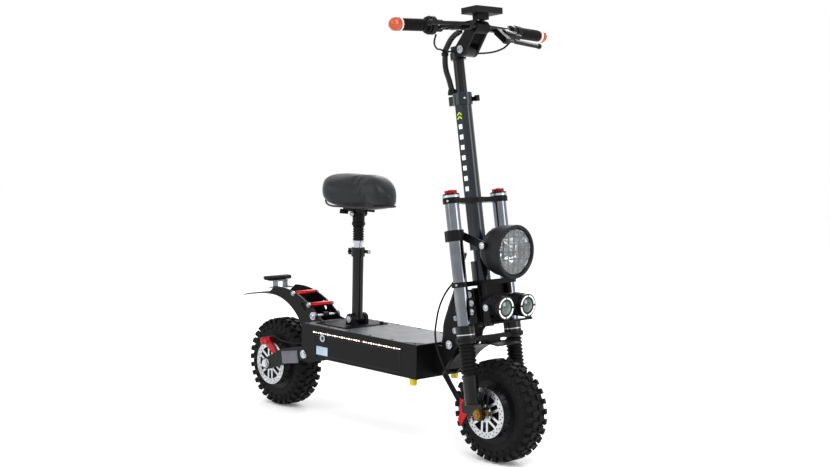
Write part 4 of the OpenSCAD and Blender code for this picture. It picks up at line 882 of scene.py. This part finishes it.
# ---------------------------------------------------------------- deck
class Deck:
    """Mat, light strip, seams and fasteners of the deck box."""

    def __init__(self) -> None:
        self.low, self.high = corners("deck_lid")
        self.shell_low, _ = corners("deck_shell")
        self.side_y = self.low.y

    def build(self) -> None:
        """Adds the deck's trim."""
        self._mat()
        self._strip()
        self._side_details()
        self._screws()

    def _mat(self) -> None:
        middle_x, top = (self.low.x + self.high.x) / 2, self.high.z
        length, width = self.high.x - self.low.x, self.high.y - self.low.y
        mat = Shape()
        nose, cut_x, cut_y = self.high.x - 4, 66.0, 34.0
        rear, half = self.low.x + 4, width / 2 - 5
        corner = [(rear, -half), (nose - cut_x, -half), (nose, -half + cut_y), (nose, half - cut_y),
                  (nose - cut_x, half), (rear, half)]
        face = mat.mesh.faces.new([mat.mesh.verts.new((x, y, top)) for x, y in corner])
        lifted = bmesh.ops.extrude_face_region(mat.mesh, geom=[face])
        rise = [v for v in lifted["geom"] if isinstance(v, bmesh.types.BMVert)]
        bmesh.ops.translate(mat.mesh, verts=rise, vec=(0, 0, 0.9))
        mat.finish("deck_grip_mat", "chassis", DECK_MAT, slot="deck_grip")
        trim = Shape()
        for side in (-1, 1):
            trim.block(shifted(middle_x, side * (width / 2 - 2.2), top - 0.2), (length, 4.4, 1.8), 0.7, 2)
            end = middle_x + side * (length / 2 - 2.2)
            trim.block(shifted(end, 0, top - 0.2), (4.4, width - 8.8, 1.8), 0.7, 2)
        trim.finish("deck_edge_trim", "chassis", BLACK_ANODISED, slot="black_paint")

    def _strip(self) -> None:
        rail, glow, dot = Shape(), Shape(), Shape()
        count, first, last = 36, -186.0, 206.0
        for side in (-1, 1):
            y = side * (self.high.y + 0.5)
            rail.block(shifted((first + last) / 2, y, 284), (last - first + 10, 1.6, 7), 0.6, 2)
            for i in range(count):
                x = first + (last - first) * (i + 0.5) / count
                lamp = dot if i == 20 else glow
                height = 2.6 if i % 3 else 4.6
                lamp.block(shifted(x, y + side * 0.8, 284), (6.2, 1.0, height), 0.3, 1)
        rail.finish("light_strip_channel", "chassis", BLACK_PLASTIC, slot="black_plastic")
        glow.finish("light_strip", "chassis", STRIP_GLOW, slot="lamp_glass")
        dot.finish("light_strip_marker", "chassis", RED_LENS, slot="red_lens")

    def _side_details(self) -> None:
        lines, plate, collar = Shape(), Shape(), Shape()
        for side in (-1, 1):
            for x in (-182, 201):
                lines.block(shifted(x, side * (self.high.y + 0.2), 246), (1.6, 1.0, 66), 0.2, 1)
            for z in (217, 276):
                lines.block(shifted(12, side * (self.high.y + 0.2), z), (380, 1.0, 1.6), 0.2, 1)
        lines.finish("deck_panel_ribs", "chassis", BLACK_GLOSS, slot="black_paint")
        plate.block(shifted(-143, self.low.y - 0.3, 230), (52, 0.9, 26), 0.3, 2)
        plate.finish("deck_blank_plate", "chassis", FOIL, slot="zinc_steel")
        port = middle("charge_port")
        collar.ring(aim((port.x, self.low.y - 1.9, port.z), -CROSS), 11.2, 6.8, 1.4, 0.5, 48)
        collar.finish("charge_port_collar", "chassis", ZINC, slot="zinc_steel")

    def _screws(self) -> None:
        screws = Shape()
        width, length = self.high.y - 12, 6
        for i in range(length):
            x = self.low.x + 20 + i * (self.high.x - self.low.x - 40) / (length - 1)
            for side in (-1, 1):
                screws.bolt(shifted(x, side * width, self.high.z + 0.6), 3.6, 1.8)
        for x in (-172, -60, 60, 190):
            for side in (-1, 1):
                screws.bolt(aim((x, side * (self.high.y + 0.1), 210), CROSS * side), 3.4, 1.8)
        screws.finish("deck_screws", "chassis", BLACK_ANODISED, slot="zinc_steel")


# ---------------------------------------------------------------- seat
class Seat:
    """The saddle and its suspension post."""

    SWELL_CAP = 7 * MM

    def __init__(self) -> None:
        self.low, self.high = corners("saddle")
        self.axis_x = joint("seat_fold")["pos_m"][0] / MM

    def build(self) -> None:
        """Adds the saddle, the post's bellows and the clamp parts."""
        self._saddle()
        self._bellows()
        self._mount()

    def _outline(self, count: int) -> list[tuple[float, float]]:
        """Half widths of the saddle from the rear to the nose, as (x, half width)."""
        half = (self.high.y - self.low.y) / 2 - 5
        rear, nose = self.low.x + 5, self.high.x - 5
        rows = []
        for i in range(count):
            x = rear + (nose - rear) * (0.5 - 0.5 * math.cos(math.pi * i / (count - 1)))
            s = (x - rear) / (nose - rear)
            back = math.sqrt(max(0.0, 1 - max(0.0, (0.34 - s) / 0.34) ** 2.2))
            slope = min(1.0, max(0.0, (s - 0.22) / 0.62))
            taper = 1 - 0.56 * (3 * slope ** 2 - 2 * slope ** 3)
            front = math.sqrt(max(0.0, 1 - max(0.0, (s - 0.8) / 0.2) ** 2.0))
            rows.append((x, max(3.0, half * back * taper * front)))
        return rows

    def _saddle(self) -> None:
        rows, around = self._outline(30), 24
        pad_low, pad_high = self.high.z - 110, self.high.z - 5
        shape = Shape()
        rings, edge = [], []
        for index, (x, half) in enumerate(rows):
            s = (x - rows[0][0]) / (rows[-1][0] - rows[0][0])
            droop = 52 * max(0.0, (s - 0.7) / 0.3) ** 2.4 + 30 * max(0.0, (0.16 - s) / 0.16) ** 2
            top = pad_high - 10 * math.sin(math.pi * min(1.0, s / 0.8)) - 8 * s - droop
            floor = pad_low + 30 * max(0.0, (0.36 - s) / 0.36) ** 2 + 6 * max(0.0, (s - 0.8) / 0.2)
            edge.append(Vector((x, half * 0.8, floor + 3)))
            centre, rise = (top + floor) / 2, (top - floor) / 2 * (0.7 + 0.3 * min(1.0, half / 30))
            loop = []
            for k in range(around):
                a = math.tau * k / around
                c, n = math.cos(a), math.sin(a)
                wide = half * math.copysign(abs(c) ** 0.66, c) * (1.0 if n < 0 else 1 - 0.1 * n)
                loop.append(shape.mesh.verts.new((x, wide, centre + rise * math.copysign(abs(n) ** 0.62, n))))
            rings.append([shape.mesh.edges.new((loop[k], loop[(k + 1) % around])) for k in range(around)])
            if index in (0, len(rows) - 1):
                shape.mesh.faces.new(loop)
        for a, b in zip(rings, rings[1:]):
            bmesh.ops.bridge_loops(shape.mesh, edges=a + b)
        bmesh.ops.smooth_vert(shape.mesh, verts=shape.mesh.verts, factor=0.5, use_axis_x=True, use_axis_y=True,
                              use_axis_z=True)
        pad = shape.finish("saddle_cushion", "seat", LEATHER, ["saddle"], "saddle_leather", 80)
        self._inflate(pad)
        rim = edge[4:27]
        loop = rim + [Vector((p.x, -p.y, p.z)) for p in reversed(rim)]
        register(tube(loop + [loop[0]], 3.0), "saddle_base_rim", "seat", PIPING)

    def _inflate(self, pad: bpy.types.Object) -> None:
        """Swells the cushion by cloth simulation, within a cap."""
        remesh = pad.modifiers.new("even", "REMESH")
        remesh.mode = "VOXEL"
        remesh.voxel_size = 5 * MM
        self._apply(pad)
        rest = [v.co.copy() for v in pad.data.vertices]
        cloth = pad.modifiers.new("air", "CLOTH")
        cloth.settings.use_pressure = True
        cloth.settings.uniform_pressure_force = 4.0
        cloth.settings.effector_weights.gravity = 0.0
        cloth.settings.quality = 5
        for step in range(1, 21):
            bpy.context.scene.frame_set(step)
        self._apply(pad)
        for vertex, start in zip(pad.data.vertices, rest):
            move = vertex.co - start
            if move.length > self.SWELL_CAP:
                vertex.co = start + move.normalized() * self.SWELL_CAP
        bpy.context.scene.frame_set(1)
        low, high = self.low * MM, self.high * MM
        for vertex in pad.data.vertices:
            vertex.co.x = min(max(vertex.co.x, low.x), high.x)
            vertex.co.y = min(max(vertex.co.y, low.y), high.y)
            vertex.co.z = min(vertex.co.z, high.z)
        fine = pad.modifiers.new("fine", "SUBSURF")
        fine.levels = fine.render_levels = 1
        self._apply(pad)
        pad.data.shade_smooth()

    @staticmethod
    def _apply(piece: bpy.types.Object) -> None:
        """Applies every modifier of a piece."""
        bpy.context.view_layer.update()
        graph = bpy.context.evaluated_depsgraph_get()
        data = bpy.data.meshes.new_from_object(piece.evaluated_get(graph))
        piece.modifiers.clear()
        old = piece.data
        piece.data = data
        bpy.data.meshes.remove(old)
        data.name = piece.name

    def _bellows(self) -> None:
        low, high = corners("seat_spring")
        folds, pitch = 6, (high.z - low.z) / 6
        profile = [(12.6, 0.0)]
        for i in range(folds):
            z = i * pitch
            profile += [(14.5, z + 0.3), (17.8, z + pitch * 0.45), (17.8, z + pitch * 0.6), (14.6, z + pitch * 0.97)]
        profile += [(12.6, high.z - low.z)]
        at = shifted(self.axis_x, 0, low.z)
        piece = Shape().lathe(at, profile, 40).finish("seat_post_bellows", "seat_column", SOFT_RUBBER, ["seat_spring"],
                                                      "black_rubber", 50)
        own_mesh(piece)

    def _mount(self) -> None:
        cup = Shape()
        z = corners("seat_spring")[1].z
        cup.ring(shifted(self.axis_x, 0, z - 0.5), 20.5, 9.4, 12, 2.0, 48)
        cup.ring(shifted(self.axis_x, 0, z + 10), 18.6, 9.6, 42, 1.5, 40)
        for side in (-1, 1):
            cup.rod(aim((self.axis_x, side * 10, z + 36), CROSS * side), 18, 10, 9, 32, 1.2)
            cup.block(shifted(self.axis_x, side * 20, z + 50), (96, 7, 16), 1.8, 2)
            cup.rod(aim((self.axis_x - 14, side * 30, z + 40), Vector((-0.4, side * 0.5, 0.1))), 26, 5.5, 7.5, 20, 1.2)
        cup.finish("saddle_clamp", "seat", BLACK_POWDER, slot="saddle_leather")
        stick = Shape().rod(aim((self.axis_x - 18, 24, z + 47), Vector((-0.75, 0.62, 0.02))), 52, 3.4, 3.0, 16, 0.5)
        stick.lathe(shifted(self.axis_x - 59, 57, z + 48), [(0, -7), (5, -5), (7, 0), (5, 5), (0, 7)], 20)
        stick.finish("saddle_release_stick", "seat", BLACK_GLOSS, slot="black_paint")
        bolts = Shape()
        for side in (-1, 1):
            bolts.bolt(aim((self.axis_x, side * 28, z + 36), CROSS * side), 6.5, 4, 8.5)
        bolts.finish("saddle_clamp_bolts", "seat", ZINC, slot="zinc_steel")
        base_low, base_high = corners("seat_plate")
        pads = Shape()
        for x in (base_low.x + 12, base_high.x - 12):
            for side in (-1, 1):
                pads.bolt(shifted(x, side * (base_high.y - 14), base_low.z + 4), 6.2, 4.0, 9)
        pads.finish("seat_plate_bolts", "chassis", BLACK_ANODISED, slot="zinc_steel")


# ---------------------------------------------------------------- rear end
class RearEnd:
    """Shock spring, bolts, light lens and small trim behind the deck."""

    SPACERS = ((-364, 377), (-286, 349))

    def build(self) -> None:
        """Adds the rear details."""
        foot = Vector((-298.0, 0, 205.0))
        axis = Vector(joint("shock_travel")["axis"])
        across = axis.cross(CROSS).normalized()
        turns, length, radius = 6.5, 72.0, 17.0
        coil = []
        steps = int(turns * 22)
        for i in range(steps + 1):
            a = math.tau * turns * i / steps
            t = 24.6 + length * i / steps
            coil.append(foot + axis * t + across * radius * math.cos(a) + CROSS * radius * math.sin(a))
        spring = register(tube(coil, 2.9, smooth=False), "rear_coil_spring", "shock_upper", RED_ANODISED,
                          ["shock_spring"])
        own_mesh(spring)
        self._bolts()
        self._light()

    def _bolts(self) -> None:
        bolts = Shape()
        spots = [((-263, 317), 51, 7.5, 12.5), ((-253, 203), 95.5, 8, 13)]
        spots[1:1] = [(spot, 51, 5.5, 0) for spot in self.SPACERS]
        for (x, z), y, radius, washer in spots:
            for side in (-1, 1):
                bolts.bolt(aim((x, side * y, z), CROSS * side), radius, 4.5, washer)
        bolts.finish("rear_bolt_heads", "chassis", ZINC, slot="zinc_steel")
        # lighter grey plates on the arm's sides: painted highlight of its lit faces
        painted_highlight_plates = Shape()
        for side in (-1, 1):
            painted_highlight_plates.block(shifted(-340, side * 79, 180) @ rotated(-0.16, "Y"), (80, 4, 40), 2.0, 3)
        painted_highlight_plates.finish("swing_arm_lit_side_plates", "rear_arm", ARM_PAINTED_HIGHLIGHT, slot="dark_alloy")
        tubes = Shape()
        for x, z in self.SPACERS:
            tubes.rod(aim((x, -39.8, z), CROSS), 79.6, 7.6, None, 32, 0.6)
        tubes.finish("rear_red_spacers", "chassis", RED_ANODISED, slot="red_alloy")

    def _light(self) -> None:
        low, high = corners("tail_light")
        top = high.z
        lens = Shape().block(shifted(low.x + 3.4, 0, top - 7), (7, 92, 11), 2.2, 3)
        for i in range(8):
            lens.block(shifted(low.x + 1.2, (i - 3.5) * 11, top - 7), (2.4, 9, 8), 0.8, 1)
        lens.finish("tail_light_lens", "chassis", RED_LENS, slot="red_lens")
        case = Shape().block(shifted(low.x + 18.5, 0, top - 7), (25, 99, 13.6), 4.5, 3)
        case.finish("tail_light_case", "chassis", BLACK_PLASTIC, ["tail_light"], "red_lens")
        stay = Shape().block(shifted(low.x + 22, 0, top - 16), (34, 60, 4), 0.8, 2)
        for side in (-1, 1):
            stay.block(shifted(low.x + 32, side * 20, top - 27), (24, 4, 26), 0.8, 2)
            stay.block(shifted(low.x + 36, side * 28, top - 37), (30, 18, 4), 0.8, 2)
        stay.finish("tail_light_stay", "chassis", GREY_ALLOY, slot="zinc_steel")
        screws = Shape()
        for side in (-1, 1):
            screws.bolt(shifted(low.x + 44, side * 30, top - 35), 3.4, 2.4)
            screws.bolt(aim((low.x + 20, side * 16, top - 18), -UP), 3.0, 2.0)
        screws.finish("tail_light_screws", "chassis", ZINC, slot="zinc_steel")


# ---------------------------------------------------------------- neck
class Neck:
    """Bolts and loom on the folding neck."""

    def build(self) -> None:
        """Adds bolt heads, the hinge knob and the loom."""
        bolts = Shape()
        for side in (-1, 1):
            for u, w in ((-6, 324), (-2, 300), (-4, 276), (-78, 228)):
                bolts.bolt(steer_at(u, side * 47.8, w, Vector((0, side, 0))), 6.4, 3.6, 8.5)
            for u, w in ((-52, 300), (-74, 262)):
                bolts.bolt(steer_at(u, side * 44, w, Vector((0, side, 0))), 5, 3.4, 7)
        bolts.finish("neck_plate_bolts", "neck", ZINC, slot="zinc_steel")
        pin = Vector(joint("neck_fold")["pos_m"]) / MM
        heads = Shape()
        for side in (-1, 1):
            heads.bolt(aim(pin + Vector((0, side * 50.2, 0)), CROSS * side), 9, 5, 12)
        heads.finish("neck_hinge_caps", "chassis", ZINC, slot="zinc_steel")
        s = Vector(joint("steering")["pos_m"]) / MM
        route = [(-118, -12, 428), (-132, -14, 380), (-148, -14, 320), (-172, -12, 262), (-190, -10, 214),
                 (-192, -10, 180), (-200, -10, 150)]
        register(tube([s + Vector(p) for p in route], 7.0), "neck_loom", "neck", WRAPPED, ["neck_harness"])


# ---------------------------------------------------------------- CAD pieces
NODE_FINISHES: dict[str, Finish] = {
    "deck_shell": BLACK_POWDER, "deck_lid": BLACK_POWDER, "deck_electronics": PACK_WRAP, "deck_feet": YELLOW_RUBBER,
    "charge_port": ZINC, "seat_plate": BLACK_POWDER, "rear_brackets": BLACK_POWDER, "rear_fender": BLACK_PLASTIC,
    "frame_bolts": ZINC,
    "neck_frame": BLACK_POWDER, "head_bearings": ZINC, "fork_crowns": BLACK_POWDER, "fork_tubes": CHROME,
    "stem_tube": STEM_PAINT, "front_mudguard": BLACK_PLASTIC, "headlight_bracket": BLACK_POWDER,
    "lamp_bracket": BLACK_POWDER, "fork_lowers": BLACK_GLOSS, "front_axle": BRASS, "front_caliper": RED_ANODISED,
    "front_hub": BLACK_ANODISED, "front_disc": DISC_STEEL, "headlight_shell": LAMP_BLACK,
    "headlight_lens": CLEAR_LENS, "twin_lamps": BLACK_ANODISED, "stem_slider": BLACK_GLOSS,
    "stem_lever": BLACK_ANODISED, "handlebar": BLACK_GLOSS, "bar_clamp": BLACK_POWDER, "display": BLACK_PLASTIC,
    "brake_masters": BLACK_ANODISED, "control_pods": BLACK_PLASTIC, "brake_lever_right": BLACK_ANODISED,
    "brake_lever_left": BLACK_ANODISED, "horn_button": RED_BUTTON, "seat_tube": BLACK_GLOSS, "seat_lever": ZINC,
    "seat_post": POST_CHROME, "swing_arm": BLACK_ANODISED, "rear_axle": ZINC, "rear_hub": BLACK_ANODISED,
    "rear_disc": DISC_STEEL, "shock_body": BLACK_ANODISED, "shock_rod": ZINC, "kickstand": BLACK_POWDER,
}
SOLID_FINISHES: dict[str, list[Finish]] = {
    "fork_collars": [BLACK_GLOSS, RED_ANODISED],
    "rear_caliper": [RED_ANODISED, SOFT_RUBBER],
}


def island_finish(node: str, centre: Vector, extent: Vector) -> int:
    """Which of a node's finishes a separate solid takes, from its place and size in mm."""
    if node == "fork_collars":
        return 1 if centre.z > corners("fork_collars")[1].z - 12 else 0
    return 1 if extent.x > 150 else 0


def dress_nodes() -> None:
    """Gives every carried-over CAD node its finish."""
    for name, node in frame["nodes"].items():
        if name in SOLID_FINISHES:
            dress_solids(name, node)
        elif name in NODE_FINISHES:
            material = SHOP.get(NODE_FINISHES[name])
            for slot in node.material_slots:
                slot.link = "OBJECT"
                slot.material = material


def dress_solids(name: str, node: bpy.types.Object) -> None:
    """Copies a node of several finishes as pieces, one for each finish."""
    source = bmesh.new()
    source.from_mesh(node.data)
    bmesh.ops.remove_doubles(source, verts=source.verts, dist=1e-6)
    seen: set[int] = set()
    groups: dict[int, list[bmesh.types.BMFace]] = {}
    source.faces.ensure_lookup_table()
    for face in source.faces:
        if face.index in seen:
            continue
        stack, island = [face], []
        seen.add(face.index)
        while stack:
            current = stack.pop()
            island.append(current)
            for edge in current.edges:
                for near in edge.link_faces:
                    if near.index not in seen:
                        seen.add(near.index)
                        stack.append(near)
        places = [v.co for f in island for v in f.verts]
        low = Vector([min(p[i] for p in places) for i in range(3)]) / MM
        high = Vector([max(p[i] for p in places) for i in range(3)]) / MM
        groups.setdefault(island_finish(name, (low + high) / 2, high - low), []).extend(island)
    body = body_of(node)
    body = body[0] if isinstance(body, (list, tuple)) else body
    pieces = []
    for index, faces in sorted(groups.items()):
        part = source.copy()
        part.faces.ensure_lookup_table()
        keep = {f.index for f in faces}
        bmesh.ops.delete(part, geom=[f for f in part.faces if f.index not in keep], context="FACES")
        data = bpy.data.meshes.new(f"{name}_{index}")
        part.to_mesh(data)
        part.free()
        data.shade_smooth()
        data.set_sharp_from_angle(angle=math.radians(30))
        finish = SOLID_FINISHES[name][index]
        pieces.append(register(data, f"{name}_{finish.name}", body, finish, [name]))
    source.free()
    LOG.info("%s dressed as %d pieces", name, len(pieces))


# ---------------------------------------------------------------- studio
class Studio:
    """Camera, floor and soft lights."""

    PLACE = Vector((2.8896, -2.6455, 0.9347))
    TARGET = Vector((0.139, 0.0, 0.604))
    LENS = 57.0
    ROLL = math.radians(1.013)

    def camera(self) -> None:
        """Makes the scene's camera."""
        data = bpy.data.cameras.new("view")
        data.lens = self.LENS
        data.sensor_width = 36.0
        data.clip_start = 0.05
        turn = (self.TARGET - self.PLACE).to_track_quat("-Z", "Y").to_matrix().to_4x4()
        holder = bpy.data.objects.new("view", data)
        holder.matrix_world = Matrix.Translation(self.PLACE) @ turn @ rotated(self.ROLL, "Z")
        bpy.context.collection.objects.link(holder)
        bpy.context.scene.camera = holder

    def build(self) -> None:
        """Adds the floor, the lights and the world."""
        floor = Shape().block(shifted(0, 0, -11), (24000, 24000, 20), 0)
        bmesh.ops.transform(floor.mesh, matrix=Matrix.Scale(MM, 4), verts=floor.mesh.verts)
        data = bpy.data.meshes.new("floor")
        floor.mesh.to_mesh(data)
        floor.mesh.free()
        data.materials.append(self._paper())
        slab = bpy.data.objects.new("floor", data)
        bpy.context.collection.objects.link(slab)
        for name, place, size, power in (("key", (2.4, -1.6, 3.4), 2.0, 95), ("fill", (-1.2, -3.4, 1.8), 2.4, 35),
                                         ("rim", (-1.6, 2.8, 2.6), 2.0, 60), ("front", (3.6, 1.2, 1.4), 1.4, 28)):
            light = bpy.data.lights.new(name, "AREA")
            light.size = size
            light.energy = power
            holder = bpy.data.objects.new(name, light)
            aimed = (Vector((0, 0, 0.5)) - Vector(place)).to_track_quat("-Z", "Y").to_matrix().to_4x4()
            holder.matrix_world = Matrix.Translation(place) @ aimed
            bpy.context.collection.objects.link(holder)
        world = bpy.data.worlds.new("sky")
        world.use_nodes = True
        world.node_tree.nodes["Background"].inputs["Color"].default_value = (1, 1, 1, 1)
        world.node_tree.nodes["Background"].inputs["Strength"].default_value = 1.0
        bpy.context.scene.world = world
        bpy.context.scene.view_settings.view_transform = "Standard"

    @staticmethod
    def _paper() -> bpy.types.Material:
        paper = bpy.data.materials.new("studio_paper")
        paper.use_nodes = True
        shader = paper.node_tree.nodes["Principled BSDF"]
        shader.inputs["Base Color"].default_value = srgb("f7f7f7")
        shader.inputs["Emission Color"].default_value = (1, 1, 1, 1)
        shader.inputs["Emission Strength"].default_value = 0.06
        shader.inputs["Roughness"].default_value = 0.9
        return paper


def main() -> None:
    logging.basicConfig(level=logging.INFO)
    studio = Studio()
    studio.camera()
    dress_nodes()
    for part in (Wheel("front"), Wheel("rear"), Fork(), Headlight(), TwinLamps(), Cockpit(), Deck(), Seat(), RearEnd(),
                 Neck()):
        part.build()
        LOG.info("%s built", type(part).__name__)
    studio.build()


if __name__ == "__main__":
    main()
